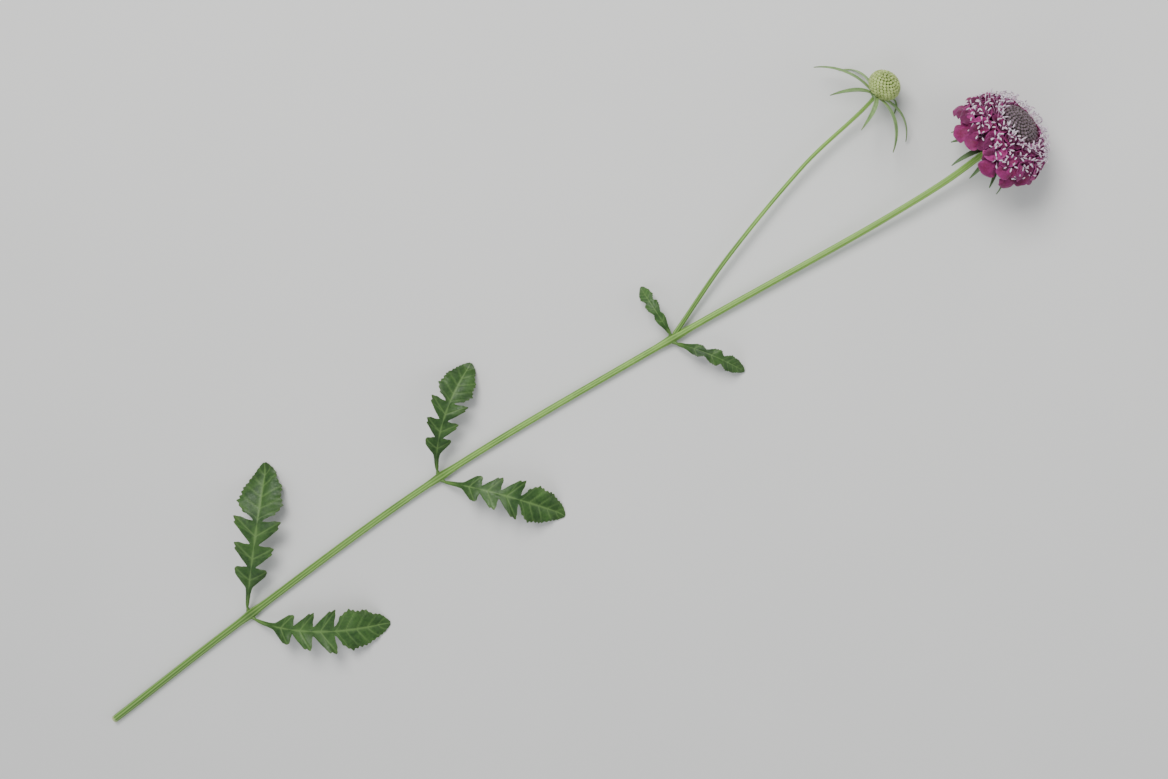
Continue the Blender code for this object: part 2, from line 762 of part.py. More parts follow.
LOWER_NODE, MIDDLE_NODE, UPPER_NODE = STEM_ROUTE[1:4]
LEAVES = (
    Leaf("leaf_lower_left", LOWER_NODE, 1, 0.098, 0.0150, 3, (34, 62), (34, -44), (30, -8)),
    Leaf("leaf_lower_right", LOWER_NODE, -1, 0.090, 0.0140, 3, (40, 24), (30, -38), (26, -12)),
    Leaf("leaf_middle_left", MIDDLE_NODE, 1, 0.074, 0.0115, 3, (46, 30), (42, -52), (34, -6)),
    Leaf("leaf_middle_right", MIDDLE_NODE, -1, 0.080, 0.0120, 3, (30, 66), (36, -46), (28, 4)),
    Leaf("leaf_upper_left", UPPER_NODE, 1, 0.036, 0.0042, 2, (78, 104), (52, -64), (30, 0)),
    Leaf("leaf_upper_right", UPPER_NODE, -1, 0.046, 0.0050, 2, (38, 74), (44, -56), (30, 10)),
)


def build_leaf(leaf, finish):
    new_object(leaf.name, thick_sheet(*leaf.sheet()), finish)


def main():
    for item in list(bpy.data.objects):
        bpy.data.objects.remove(item)
    petal = material("petal", (0.205, 0.030, 0.130), 0.55)
    centre = material("centre", (0.100, 0.090, 0.085), 0.70)
    bud_green = material("bud_green", (0.330, 0.420, 0.130), 0.60)
    stem_green = material("stem_green", (0.210, 0.350, 0.105), 0.55)
    bract_green = material("bract_green", (0.085, 0.150, 0.060), 0.60)
    leaf_green = material("leaf_green", (0.038, 0.085, 0.025), 0.60)
    build_stem(stem_green)
    build_side_shoot(stem_green)
    for leaf in LEAVES:
        build_leaf(leaf, leaf_green)
    build_involucre(bract_green)
    build_bloom(petal)
    build_centre(centre)
    build_bud_bracts(bract_green)
    build_bud(bud_green)


main()
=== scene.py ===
"""A cut scabiosa stem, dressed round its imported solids: bloom, stem, leaves and one side bud.

Metres, +Z up, in the frame of the solids. The stem runs along X, with its cut end at -X and the
bloom at +X, and the surface that it lies on is z = 0. The head and the bud are built in frames
of their own, whose Z is the axis of the flower and whose Y points up from the surface.
"""

import enum
import logging
import math
from dataclasses import dataclass, field

import bpy
import numpy as np
from mathutils import Matrix, Vector


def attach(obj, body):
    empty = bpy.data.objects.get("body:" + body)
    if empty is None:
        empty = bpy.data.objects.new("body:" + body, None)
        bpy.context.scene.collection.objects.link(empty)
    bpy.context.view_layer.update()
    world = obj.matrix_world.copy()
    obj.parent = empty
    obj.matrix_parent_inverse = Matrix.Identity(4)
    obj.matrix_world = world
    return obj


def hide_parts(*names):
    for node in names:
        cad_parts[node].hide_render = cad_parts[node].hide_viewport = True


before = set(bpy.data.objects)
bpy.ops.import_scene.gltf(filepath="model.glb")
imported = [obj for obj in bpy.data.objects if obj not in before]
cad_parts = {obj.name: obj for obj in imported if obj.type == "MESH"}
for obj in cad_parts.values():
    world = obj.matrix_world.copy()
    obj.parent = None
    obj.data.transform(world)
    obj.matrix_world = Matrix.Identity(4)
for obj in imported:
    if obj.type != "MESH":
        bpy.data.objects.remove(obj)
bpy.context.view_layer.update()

LOG = logging.getLogger("scabiosa")
# The masks attribute carries the tissue's own tones and some painted shade.
MASKS = "growth_and_shade"
GOLDEN_ANGLE = math.pi * (3 - math.sqrt(5))
UP = np.array((0.0, 0.0, 1.0))
TABLE_SOFTNESS = 0.0018
SHARP_ANGLE = math.radians(62)
HAIR_RADIUS = 0.00004
HAIR_LENGTH = 0.0006
HAIR_CLEARANCE = 0.0001

Colour = tuple[float, float, float]
Point = tuple[float, float, float]
Array = np.ndarray


def wobble(index: float, salt: float) -> float:
    """A fixed, scattered number from -1 to 1 for one of the repeats and one of their traits."""
    return math.modf(abs(math.sin(index * 12.9898 + salt * 78.233)) * 43758.5453)[0] * 2 - 1


def smooth(x: Array | float) -> Array | float:
    """A smooth rise from 0 to 1 while x goes from 0 to 1, held at its ends outside."""
    x = np.clip(x, 0.0, 1.0)
    return x * x * (3 - 2 * x)


def mix(a: Array | float, b: Array | float, t: Array | float) -> Array | float:
    """The value a share t of the way from a to b."""
    return a + (b - a) * t


def unit(vectors: Array) -> Array:
    """The vectors along the last axis, brought to length 1."""
    length = np.linalg.norm(vectors, axis=-1, keepdims=True)
    return vectors / np.maximum(length, 1e-12)


def laid(points: Array, clearance: Array | float) -> Array:
    """Bends points up where they would come closer to the surface than the clearance.

    Args:
        points: world points, with x, y, z on the last axis.
        clearance: the least height that a point keeps.

    Returns:
        The points, moved only near the surface.
    """
    found = points.copy()
    depth = points[..., 2] - clearance
    held = clearance + TABLE_SOFTNESS * np.exp((depth - TABLE_SOFTNESS) / TABLE_SOFTNESS)
    found[..., 2] = np.where(depth < TABLE_SOFTNESS, held, points[..., 2])
    return found


def flower_frame(base: Point, tilt: float, yaw: float) -> Array:
    """The frame of a head or bud: Z along its axis and Y upwards.

    Args:
        base: where the axis meets the top of its green disc.
        tilt: how far the axis rises from level, in radians.
        yaw: how far it turns from +X, in radians.

    Returns:
        A 4 by 4 matrix from the frame to the world.
    """
    axis = Vector((math.cos(tilt) * math.cos(yaw), math.cos(tilt) * math.sin(yaw), math.sin(tilt)))
    side = Vector((-math.sin(yaw), math.cos(yaw), 0))
    rise = axis.cross(side)
    placed = Matrix.Translation(base) @ Matrix((side, rise, axis)).transposed().to_4x4()
    return np.array(placed)


def into_world(place: Array, points: Array) -> Array:
    """The points, given in the frame of a 4 by 4 matrix, in the world."""
    return points @ place[:3, :3].T + place[:3, 3]


def turns_of(sides: int, offset: float = 0.0) -> Array:
    """The turn of each side of a ring, in radians, with an offset in sides."""
    return 2 * math.pi * (np.arange(sides) + offset) / sides


def arched(start: Array, pull: Array, end: Array, t: Array) -> Array:
    """Points at the shares t of an arch from start to end, drawn towards the pull."""
    return start * (1 - t) ** 2 + 2 * pull * t * (1 - t) + end * t**2


def finer(profile: Array, rows: Array) -> tuple[Array, Array]:
    """The radii and the heights of a profile at rows between its own points."""
    index = np.arange(len(profile))
    return np.interp(rows, index, profile[:, 0]), np.interp(rows, index, profile[:, 1])


def route(knots: tuple[Point, ...], last_tangent: Array, steps: int) -> Array:
    """A smooth curve through the knots.

    Args:
        knots: the points that it passes.
        last_tangent: its direction and pull at the last one.
        steps: how many points each stretch gets.

    Returns:
        The points of the curve, one row each.
    """
    knots = [np.array(knot) for knot in knots]
    tangents = [knots[1] - knots[0]]
    tangents += [(after - before) / 2 for before, after in zip(knots, knots[2:])]
    tangents.append(np.array(last_tangent))
    found = []
    for index in range(len(knots) - 1):
        for t in np.arange(steps) / steps:
            found.append(
                knots[index] * (2 * t**3 - 3 * t**2 + 1)
                + tangents[index] * (t**3 - 2 * t**2 + t)
                + knots[index + 1] * (3 * t**2 - 2 * t**3)
                + tangents[index + 1] * (t**3 - t**2)
            )
    return np.array(found + [knots[-1]])


def rounded(x: Array, keys: Array, values: Array, reach: float) -> Array:
    """Runs straight between the keys and rounds the corners there.

    Args:
        x: places from 0 to 1.
        keys: the places of the keys, from 0 to 1.
        values: the value at each key.
        reach: how wide the rounding is.

    Returns:
        The value at each place.
    """
    fine = np.linspace(0, 1, 801)
    half = round(reach * 400)
    window = np.hanning(2 * half + 3)[1:-1]
    straight = np.pad(np.interp(fine, keys, values), half, mode="edge")
    return np.interp(x, fine, np.convolve(straight, window / window.sum(), "valid"))


def dome_spots(count: int) -> Array:
    """The spiral of a flower head: each spot's share of the way out, by area, and its turn."""
    index = np.arange(count)
    return np.stack([(index + 0.5) / count, index * GOLDEN_ANGLE], axis=1)


@dataclass
class Mould:
    """The skin of one piece while it is built: points, four masks for each point, and faces.

    The masks are along (from root to tip), edge (rim, seam or cut), rib (vein or ridge) and tone
    (lighter or darker tissue, and painted shade in some gaps and hollows); the finishes colour the piece by
    them.
    """

    points: list[Array] = field(default_factory=list)
    masks: list[Array] = field(default_factory=list)
    faces: list[list[int]] = field(default_factory=list)
    count: int = 0

    def add(self, points: Array, masks: Array, faces: Array | list[list[int]]) -> None:
        """Adds a closed skin.

        Args:
            points: its points, one row each.
            masks: four masks for each point.
            faces: for each face, the rows of its corners, seen from outside in left-hand order.
        """
        self.points.append(points)
        self.masks.append(np.broadcast_to(masks, (len(points), 4)))
        if isinstance(faces, np.ndarray):
            self.faces += (faces + self.count).tolist()
        else:
            self.faces += [[corner + self.count for corner in face] for face in faces]
        self.count += len(points)

    def sheet(self, grid: Array, thickness: Array | float, masks: Array, under: float = 0.0) -> None:
        """Adds a closed blade round a grid of points, its two faces alike.

        Args:
            grid: the middle of the blade, as rows by columns by x, y, z.
            thickness: its thickness, for the whole or for each point.
            masks: four masks for each point of the grid.
            under: how much lighter its under face is.
        """
        rows, columns = grid.shape[:2]
        along = np.gradient(grid, axis=0)
        across = np.gradient(grid, axis=1)
        half = unit(np.cross(across, along)) * np.broadcast_to(thickness, (rows, columns))[..., None] / 2
        lower_masks = masks + np.array((0.0, 0.0, 0.0, under))
        index = np.arange(rows * columns).reshape(rows, columns)
        quads = np.stack([index[:-1, :-1], index[:-1, 1:], index[1:, 1:], index[1:, :-1]], axis=-1)
        quads = quads.reshape(-1, 4)
        loop = np.concatenate([index[0, :-1], index[:-1, -1], index[-1, :0:-1], index[:0:-1, 0]])
        ahead = np.roll(loop, -1)
        below = rows * columns
        rims = np.stack([ahead, loop, loop + below, ahead + below], axis=-1)
        points = np.concatenate([(grid + half).reshape(-1, 3), (grid - half).reshape(-1, 3)])
        both = np.concatenate([masks.reshape(-1, 4), lower_masks.reshape(-1, 4)])
        self.add(points, both, np.concatenate([quads, quads[:, ::-1] + below, rims]))

    def skin(self, rings: Array, masks: Array) -> None:
        """Adds a closed tube of rings, with a middle point in each end.

        Args:
            rings: its points, as rings by sides by x, y, z, turning left round the way along it.
            masks: four masks for each ring, or for each point.
        """
        count, sides = rings.shape[:2]
        if masks.ndim == 2:
            masks = np.repeat(masks[:, None, :], sides, axis=1)
        index = np.arange(count * sides).reshape(count, sides)
        beside = np.roll(index, -1, axis=1)
        walls = np.stack([index[:-1], beside[:-1], beside[1:], index[1:]], axis=-1).reshape(-1, 4)
        start, end = count * sides, count * sides + 1
        faces = walls.tolist()
        faces += [[start, int(b), int(a)] for a, b in zip(index[0], beside[0])]
        faces += [[end, int(a), int(b)] for a, b in zip(index[-1], beside[-1])]
        points = np.concatenate([rings.reshape(-1, 3), [rings[0].mean(0), rings[-1].mean(0)]])
        ends = np.stack([masks[0].mean(0), masks[-1].mean(0)])
        self.add(points, np.concatenate([masks.reshape(-1, 4), ends]), faces)

    def tube(self, centres: Array, radii: Array, masks: Array, lowest: float | None = None) -> None:
        """Adds a closed tube along a curve.

        Args:
            centres: the curve, one point for each ring.
            radii: the radius of each ring, or of each of its sides.
            masks: four masks for each ring, or for each point.
            lowest: the height that no point goes below, if there is one.
        """
        radii = radii if radii.ndim == 2 else np.repeat(radii[:, None], 6, axis=1)
        sides = radii.shape[1]
        along = unit(np.gradient(centres, axis=0))
        across = np.cross(UP, along[0])
        if np.linalg.norm(across) < 0.05:
            across = np.cross((1.0, 0.0, 0.0), along[0])
        turns = turns_of(sides, 0.5)
        rings = []
        for centre, way, ring_radii in zip(centres, along, radii):
            across = unit(across - way * across.dot(way))
            over = np.cross(way, across)
            ring = np.outer(np.cos(turns), across) + np.outer(np.sin(turns), over)
            rings.append(centre + ring * ring_radii[:, None])
        rings = np.array(rings)
        if lowest is not None:
            rings[..., 2] = np.maximum(rings[..., 2], lowest)
        self.skin(rings, masks)

    def lathe(self, place: Array, radii: Array, heights: Array, masks: Array) -> None:
        """Adds a closed turned solid.

        Args:
            place: the 4 by 4 frame whose Z it turns round.
            radii: the radius of each ring for each side.
            heights: the height of each ring.
            masks: four masks for each ring, or for each point.
        """
        turns = turns_of(radii.shape[1])
        x = radii * np.cos(turns)
        y = radii * np.sin(turns)
        z = np.broadcast_to(heights[:, None], radii.shape)
        self.skin(into_world(place, np.stack([x, y, z], axis=-1)), masks)

    def spikes(self, roots: Array, tips: Array, radius: float, masks: Array) -> None:
        """Adds many fine three-sided hairs.

        Args:
            roots: where each one starts, a little inside what it grows on.
            tips: where each one ends.
            radius: how thick they are at the root.
            masks: four masks for all of them.
        """
        along = unit(tips - roots)
        across = unit(np.cross(along, UP + 0.01))
        over = np.cross(along, across)
        out = [across * math.cos(turn) + over * math.sin(turn) for turn in turns_of(3)]
        points = np.stack([*(roots + way * radius for way in out), tips], axis=1).reshape(-1, 3)
        one = np.array(((0, 1, 3), (1, 2, 3), (2, 0, 3), (2, 1, 0)))
        faces = (np.arange(len(roots))[:, None, None] * 4 + one).reshape(-1, 3)
        self.add(points, masks, faces)

    def fringe(self, grid: Array, rows: Array, ahead: float, masks: Array) -> None:
        """Adds short hairs along both edges of a blade.

        Args:
            grid: the middle of the blade, as rows by columns by x, y, z.
            rows: the rows that have a hair at each end.
            ahead: how far the hairs lean towards the tip.
            masks: four masks for all of them.
        """
        roots = np.concatenate([grid[rows, 0], grid[rows, -1]])
        out = np.concatenate([grid[rows, 0] - grid[rows, 1], grid[rows, -1] - grid[rows, -2]])
        along = np.concatenate([grid[rows + 1, 0] - grid[rows, 0], grid[rows + 1, -1] - grid[rows, -1]])
        tips = roots + unit(unit(out) + unit(along) * ahead) * HAIR_LENGTH
        tips[:, 2] = np.maximum(tips[:, 2], HAIR_CLEARANCE)
        self.spikes(roots, tips, HAIR_RADIUS, masks)

    def make(self, name: str, finish: "Finish", node: str | None, slot: str) -> None:
        """Turns the skin into a smooth piece of the part, in its finish.

        Args:
            name: the piece's name.
            finish: what it is coloured with.
            node: the solid that it stands for, if it stands for one.
            slot: the material slot's name; it is not used.
        """
        mesh = bpy.data.meshes.new(name)
        mesh.from_pydata(np.concatenate(self.points).tolist(), [], self.faces)
        masks = mesh.attributes.new(MASKS, "FLOAT_COLOR", "POINT")
        masks.data.foreach_set("color", np.concatenate(self.masks).astype(np.float32).ravel())
        mesh.shade_smooth()
        mesh.set_sharp_from_angle(angle=SHARP_ANGLE)
        mesh.materials.append(finish.material())
        made = bpy.data.objects.new(name, mesh)
        bpy.context.scene.collection.objects.link(made)
        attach(made, "root")
        if node:
            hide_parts(node)
        LOG.info("%s: %d points, %d faces", name, self.count, len(self.faces))


def masks_of(shape: tuple[int, ...], along: Array | float = 0.0, edge: Array | float = 0.0,
             rib: Array | float = 0.0, tone: Array | float = 0.0) -> Array:
    """Four masks for each point of a grid.

    Args:
        shape: the shape of the grid.
        along: from 0 at the root to 1 at the tip.
        edge: 1 on a rim, seam or cut.
        rib: 1 on a vein or ridge.
        tone: from -1 for dark to 1 for light, by the tissue's own colour and by painted shade in some gaps
            and hollows.

    Returns:
        An array of the shape given, with the four masks on a last axis of its own.
    """
    return np.stack([np.broadcast_to(mask, shape) for mask in (along, edge, rib, tone)], axis=-1)


class Wiring:
    """A node tree while it is wired."""

    def __init__(self, tree: bpy.types.NodeTree) -> None:
        """Starts on the tree that the nodes go in."""
        self.tree = tree

    def node(self, kind: str, inputs: dict | None = None, **settings: object) -> bpy.types.Node:
        """Adds a node.

        Args:
            kind: the node's type, without its first words.
            inputs: for each input, a value, or the output that feeds it.
            **settings: the node's own settings.

        Returns:
            The new node.
        """
        made = self.tree.nodes.new("ShaderNode" + kind)
        for name, value in settings.items():
            setattr(made, name, value)
        for name, value in (inputs or {}).items():
            if isinstance(value, bpy.types.NodeSocket):
                self.tree.links.new(value, made.inputs[name])
            elif isinstance(value, tuple) and len(value) == 3 and made.inputs[name].type == "RGBA":
                made.inputs[name].default_value = (*value, 1.0)
            else:
                made.inputs[name].default_value = value
        return made

    def math(self, operation: str, *values: float | bpy.types.NodeSocket) -> bpy.types.NodeSocket:
        """Adds a Math node with these inputs, and returns its output."""
        return self.node("Math", dict(enumerate(values)), operation=operation).outputs[0]

    def ease(self, value: object, start: object, end: object) -> bpy.types.NodeSocket:
        """Adds a smooth rise from 0 to 1 while the value goes from start to end."""
        span = {"Value": value, "From Min": start, "From Max": end}
        return self.node("MapRange", span, interpolation_type="SMOOTHSTEP").outputs["Result"]

    def blend(self, share: object, a: object, b: object, way: str = "MIX") -> bpy.types.NodeSocket:
        """Mixes two colours.

        Args:
            share: how much of the second, as a value or an output.
            a: the first colour, or the output that gives it.
            b: the second.
            way: the Mix node's blend type.

        Returns:
            The colour.
        """
        made = self.node("Mix", data_type="RGBA", blend_type=way, clamp_factor=True)
        for socket, value in ((made.inputs[0], share), (made.inputs[6], a), (made.inputs[7], b)):
            if isinstance(value, bpy.types.NodeSocket):
                self.tree.links.new(value, socket)
            else:
                socket.default_value = (*value, 1.0) if isinstance(value, tuple) else value
        return made.outputs[2]


def new_group(name: str, inputs: dict[str, str], outputs: dict[str, str]) -> tuple[Wiring, object, object]:
    """Starts a node group.

    Args:
        name: the group's name.
        inputs: the type of each input by its name.
        outputs: the type of each output by its name.

    Returns:
        The wiring of its tree, the node that brings its inputs and the node that takes its outputs.
    """
    tree = bpy.data.node_groups.new(name, "ShaderNodeTree")
    for socket, kind in inputs.items():
        tree.interface.new_socket(socket, in_out="INPUT", socket_type="NodeSocket" + kind)
    for socket, kind in outputs.items():
        tree.interface.new_socket(socket, in_out="OUTPUT", socket_type="NodeSocket" + kind)
    return Wiring(tree), tree.nodes.new("NodeGroupInput"), tree.nodes.new("NodeGroupOutput")


def tissue_colour() -> bpy.types.NodeTree:
    """The group that colours living tissue by its masks and a mottling of its own.

    Returns:
        The group, built on the first call.
    """
    name = "tissue_colour"
    if name in bpy.data.node_groups:
        return bpy.data.node_groups[name]
    inputs = dict.fromkeys(("Root", "Deep", "Pale", "Tip", "Edge", "Rib"), "Color")
    shares = ("Cells", "Root Reach", "Tip Reach", "Edge Share", "Rib Share", "Tone Share")
    inputs |= dict.fromkeys(shares, "Float")
    wires, given, taken = new_group(name, inputs, {"Colour": "Color"})
    masks = wires.node("Attribute", attribute_name=MASKS)
    parts = wires.node("SeparateColor", {"Color": masks.outputs["Color"]})
    along, edge, rib = (parts.outputs[key] for key in ("Red", "Green", "Blue"))
    where = wires.node("TexCoord").outputs["Object"]
    broad = wires.node("TexNoise", {"Vector": where, "Scale": given.outputs["Cells"], "Detail": 3.0})
    fine_scale = wires.math("MULTIPLY", given.outputs["Cells"], 7.0)
    fine = wires.node("TexNoise", {"Vector": where, "Scale": fine_scale, "Detail": 2.0})
    broad_share = wires.math("MULTIPLY", broad.outputs["Fac"], 0.65)
    mottle = wires.math("MULTIPLY_ADD", fine.outputs["Fac"], 0.35, broad_share)
    body = wires.blend(wires.ease(mottle, 0.34, 0.66), given.outputs["Deep"], given.outputs["Pale"])
    past_root = wires.ease(along, 0.0, given.outputs["Root Reach"])
    body = wires.blend(past_root, given.outputs["Root"], body)
    tip_start = wires.math("SUBTRACT", 1.0, given.outputs["Tip Reach"])
    body = wires.blend(wires.ease(along, tip_start, 1.0), body, given.outputs["Tip"])
    for mask, key in ((rib, "Rib"), (edge, "Edge")):
        share = wires.math("MULTIPLY", mask, given.outputs[key + " Share"])
        body = wires.blend(share, body, given.outputs[key])
    lift = wires.math("MULTIPLY", masks.outputs["Alpha"], given.outputs["Tone Share"])
    lighter = wires.math("MAXIMUM", lift, 0.0)
    darker = wires.math("MAXIMUM", wires.math("MULTIPLY", lift, -1.0), 0.0)
    body = wires.blend(lighter, body, (1.0, 1.0, 1.0), "SOFT_LIGHT")
    body = wires.blend(darker, body, (0.0, 0.0, 0.0))
    wires.tree.links.new(body, taken.inputs["Colour"])
    return wires.tree


def tissue_relief() -> bpy.types.NodeTree:
    """The group that gives living tissue its fine relief and the scatter of its gloss.

    Returns:
        The group, built on the first call.
    """
    name = "tissue_relief"
    if name in bpy.data.node_groups:
        return bpy.data.node_groups[name]
    inputs = {key: "Float" for key in ("Cells", "Smoothest", "Roughest", "Rib Height")}
    wires, given, taken = new_group(name, inputs, {"Height": "Float", "Roughness": "Float"})
    masks = wires.node("Attribute", attribute_name=MASKS)
    parts = wires.node("SeparateColor", {"Color": masks.outputs["Color"]})
    where = wires.node("TexCoord").outputs["Object"]
    cells = wires.node("TexVoronoi", {"Vector": where, "Scale": given.outputs["Cells"]})
    grain_scale = wires.math("MULTIPLY", given.outputs["Cells"], 0.4)
    grain = wires.node("TexNoise", {"Vector": where, "Scale": grain_scale, "Detail": 4.0})
    pitted = wires.math("MULTIPLY", cells.outputs["Distance"], 0.5)
    height = wires.math("MULTIPLY_ADD", grain.outputs["Fac"], 0.8, pitted)
    height = wires.math("MULTIPLY_ADD", parts.outputs["Blue"], given.outputs["Rib Height"], height)
    span = {"Value": grain.outputs["Fac"], "From Min": 0.3, "From Max": 0.7}
    span |= {"To Min": given.outputs["Smoothest"], "To Max": given.outputs["Roughest"]}
    rough = wires.node("MapRange", span)
    wires.tree.links.new(height, taken.inputs["Height"])
    wires.tree.links.new(rough.outputs["Result"], taken.inputs["Roughness"])
    return wires.tree


@dataclass(frozen=True)
class Finish:
    """The finish of one kind of living tissue. Colours are linear, cells are per metre."""

    name: str
    root: Colour
    deep: Colour
    pale: Colour
    tip: Colour
    edge: Colour
    rib: Colour
    cells: float = 260.0
    root_reach: float = 0.35
    tip_reach: float = 0.25
    edge_share: float = 0.6
    rib_share: float = 0.6
    tone_share: float = 0.35
    smoothest: float = 0.45
    roughest: float = 0.70
    relief_cells: float = 2600.0
    relief_depth: float = 0.00004
    rib_height: float = 0.0
    sheen: float = 0.0
    sheen_tint: Colour = (1.0, 1.0, 1.0)
    softness: float = 0.0
    soft_reach: Colour = (0.5, 0.4, 0.3)

    def material(self) -> bpy.types.Material:
        """The material of this finish.

        Returns:
            The material, built on the first call.
        """
        if self.name in bpy.data.materials:
            return bpy.data.materials[self.name]
        made = bpy.data.materials.new(self.name)
        made.use_nodes = True
        wires = Wiring(made.node_tree)
        shader = made.node_tree.nodes["Principled BSDF"]
        colour = wires.node("Group", {
            "Root": self.root, "Deep": self.deep, "Pale": self.pale,
            "Tip": self.tip, "Edge": self.edge, "Rib": self.rib,
            "Cells": self.cells, "Root Reach": self.root_reach, "Tip Reach": self.tip_reach,
            "Edge Share": self.edge_share, "Rib Share": self.rib_share, "Tone Share": self.tone_share,
        }, node_tree=tissue_colour())
        relief = wires.node("Group", {
            "Cells": self.relief_cells, "Smoothest": self.smoothest,
            "Roughest": self.roughest, "Rib Height": self.rib_height,
        }, node_tree=tissue_relief())
        depth = {"Height": relief.outputs["Height"], "Distance": self.relief_depth, "Strength": 0.8}
        bump = wires.node("Bump", depth)
        wires.tree.links.new(colour.outputs["Colour"], shader.inputs["Base Color"])
        wires.tree.links.new(relief.outputs["Roughness"], shader.inputs["Roughness"])
        wires.tree.links.new(bump.outputs["Normal"], shader.inputs["Normal"])
        shader.inputs["IOR"].default_value = 1.4
        shader.inputs["Specular IOR Level"].default_value = 0.35
        shader.inputs["Sheen Weight"].default_value = self.sheen
        shader.inputs["Sheen Roughness"].default_value = 0.4
        shader.inputs["Sheen Tint"].default_value = (*self.sheen_tint, 1.0)
        shader.inputs["Subsurface Weight"].default_value = self.softness
        shader.inputs["Subsurface Radius"].default_value = self.soft_reach
        shader.inputs["Subsurface Scale"].default_value = 0.0015
        return made


# The dark root colour at the throats is partly the florets' own deeper colour there and partly painted shade
# in the throats.
PETAL = Finish(
    name="petal_velvet",
    root=(0.055, 0.003, 0.020), deep=(0.140, 0.006, 0.046), pale=(0.252, 0.020, 0.140),
    tip=(0.236, 0.018, 0.124), edge=(0.400, 0.060, 0.260), rib=(0.085, 0.004, 0.032),
    cells=170.0, root_reach=0.50, tip_reach=0.25, edge_share=0.38, rib_share=0.42, tone_share=0.75,
    smoothest=0.50, roughest=0.72, relief_cells=5200.0, relief_depth=0.00003, rib_height=0.5,
    sheen=0.16, sheen_tint=(0.95, 0.62, 0.85), softness=0.14, soft_reach=(0.9, 0.25, 0.55),
)
TUBE = Finish(
    name="floret_tubes",
    root=(0.235, 0.280, 0.110), deep=(0.130, 0.022, 0.058), pale=(0.215, 0.050, 0.115),
    tip=(0.125, 0.008, 0.055), edge=(0.3, 0.2, 0.2), rib=(0.290, 0.130, 0.170),
    cells=400.0, root_reach=0.55, tip_reach=0.35, rib_share=0.45, tone_share=0.5,
    smoothest=0.5, roughest=0.7, softness=0.1, soft_reach=(0.8, 0.4, 0.4),
)
# The heart's dark maroon body colours are painted shade in the depths under the open florets.
HEART_SHADE = Finish(
    name="head_heart_painted_shade",
    root=(0.060, 0.075, 0.026), deep=(0.036, 0.004, 0.016), pale=(0.070, 0.008, 0.034),
    tip=(0.045, 0.008, 0.024), edge=(0.100, 0.120, 0.060), rib=(0.110, 0.040, 0.050),
    cells=420.0, root_reach=0.30, tip_reach=0.2, rib_share=0.5, tone_share=0.6,
)
FILAMENT = Finish(
    name="stamen_filament",
    root=(0.180, 0.030, 0.110), deep=(0.420, 0.170, 0.340), pale=(0.560, 0.300, 0.480),
    tip=(0.640, 0.430, 0.600), edge=(0.6, 0.4, 0.55), rib=(0.6, 0.4, 0.55),
    cells=500.0, root_reach=0.5, tip_reach=0.4, softness=0.2, soft_reach=(0.7, 0.5, 0.6),
)
ANTHER = Finish(
    name="anther_pale",
    root=(0.560, 0.460, 0.560), deep=(0.660, 0.580, 0.670), pale=(0.860, 0.810, 0.860),
    tip=(0.800, 0.740, 0.800), edge=(0.430, 0.300, 0.430), rib=(0.5, 0.4, 0.5),
    cells=1400.0, root_reach=0.1, tip_reach=0.1, edge_share=0.75,
    smoothest=0.6, roughest=0.85, relief_cells=9000.0, relief_depth=0.00002, softness=0.15,
)
# The near-black root colour and the dark edge colour are painted shade between the packed florets and in
# their folds.
CENTRE = Finish(
    name="unopened_florets",
    root=(0.024, 0.010, 0.012), deep=(0.072, 0.066, 0.056), pale=(0.135, 0.138, 0.108),
    tip=(0.185, 0.135, 0.170), edge=(0.045, 0.022, 0.032), rib=(0.120, 0.018, 0.066),
    cells=520.0, root_reach=0.55, tip_reach=0.35, edge_share=0.7, rib_share=0.75, tone_share=0.5,
    smoothest=0.55, roughest=0.8, relief_cells=6200.0, relief_depth=0.00004, sheen=0.1, softness=0.08,
)
BRISTLE = Finish(
    name="dark_bristles",
    root=(0.030, 0.020, 0.014), deep=(0.055, 0.026, 0.026), pale=(0.110, 0.060, 0.050),
    tip=(0.150, 0.090, 0.075), edge=(0.1, 0.05, 0.04), rib=(0.1, 0.05, 0.04),
)
# The darker root colour and the darker edge colour are painted shade between the packed florets and in their
# folds.
BUD = Finish(
    name="bud_button",
    root=(0.090, 0.170, 0.030), deep=(0.205, 0.330, 0.070), pale=(0.370, 0.490, 0.140),
    tip=(0.470, 0.560, 0.210), edge=(0.130, 0.215, 0.045), rib=(0.5, 0.55, 0.25),
    cells=420.0, root_reach=0.50, tip_reach=0.4, edge_share=0.65, tone_share=0.4,
    smoothest=0.45, roughest=0.7, relief_cells=6000.0, relief_depth=0.00003, softness=0.15,
    soft_reach=(0.5, 0.7, 0.2),
)
BUD_BRISTLE = Finish(
    name="pale_bristles",
    root=(0.200, 0.270, 0.080), deep=(0.330, 0.400, 0.150), pale=(0.480, 0.530, 0.260),
    tip=(0.420, 0.330, 0.220), edge=(0.4, 0.4, 0.2), rib=(0.4, 0.4, 0.2),
)
STEM = Finish(
    name="stem_ribbed_green",
    root=(0.070, 0.175, 0.032), deep=(0.090, 0.215, 0.038), pale=(0.165, 0.340, 0.062),
    tip=(0.190, 0.370, 0.066), edge=(0.500, 0.560, 0.300), rib=(0.320, 0.510, 0.140),
    cells=90.0, root_reach=0.60, tip_reach=0.55, edge_share=0.9, rib_share=0.75, tone_share=0.6,
    smoothest=0.36, roughest=0.60, relief_cells=3200.0, relief_depth=0.00004, rib_height=0.6,
    sheen=0.04, softness=0.10, soft_reach=(0.4, 0.7, 0.2),
)
BRACT = Finish(
    name="bract_green",
    root=(0.110, 0.210, 0.045), deep=(0.040, 0.098, 0.026), pale=(0.082, 0.165, 0.046),
    tip=(0.060, 0.085, 0.030), edge=(0.130, 0.205, 0.080), rib=(0.170, 0.290, 0.095),
    cells=300.0, root_reach=0.25, tip_reach=0.2, edge_share=0.5, rib_share=0.65, tone_share=0.5,
    smoothest=0.42, roughest=0.66, rib_height=0.5, sheen=0.05, softness=0.08,
    soft_reach=(0.4, 0.7, 0.2),
)
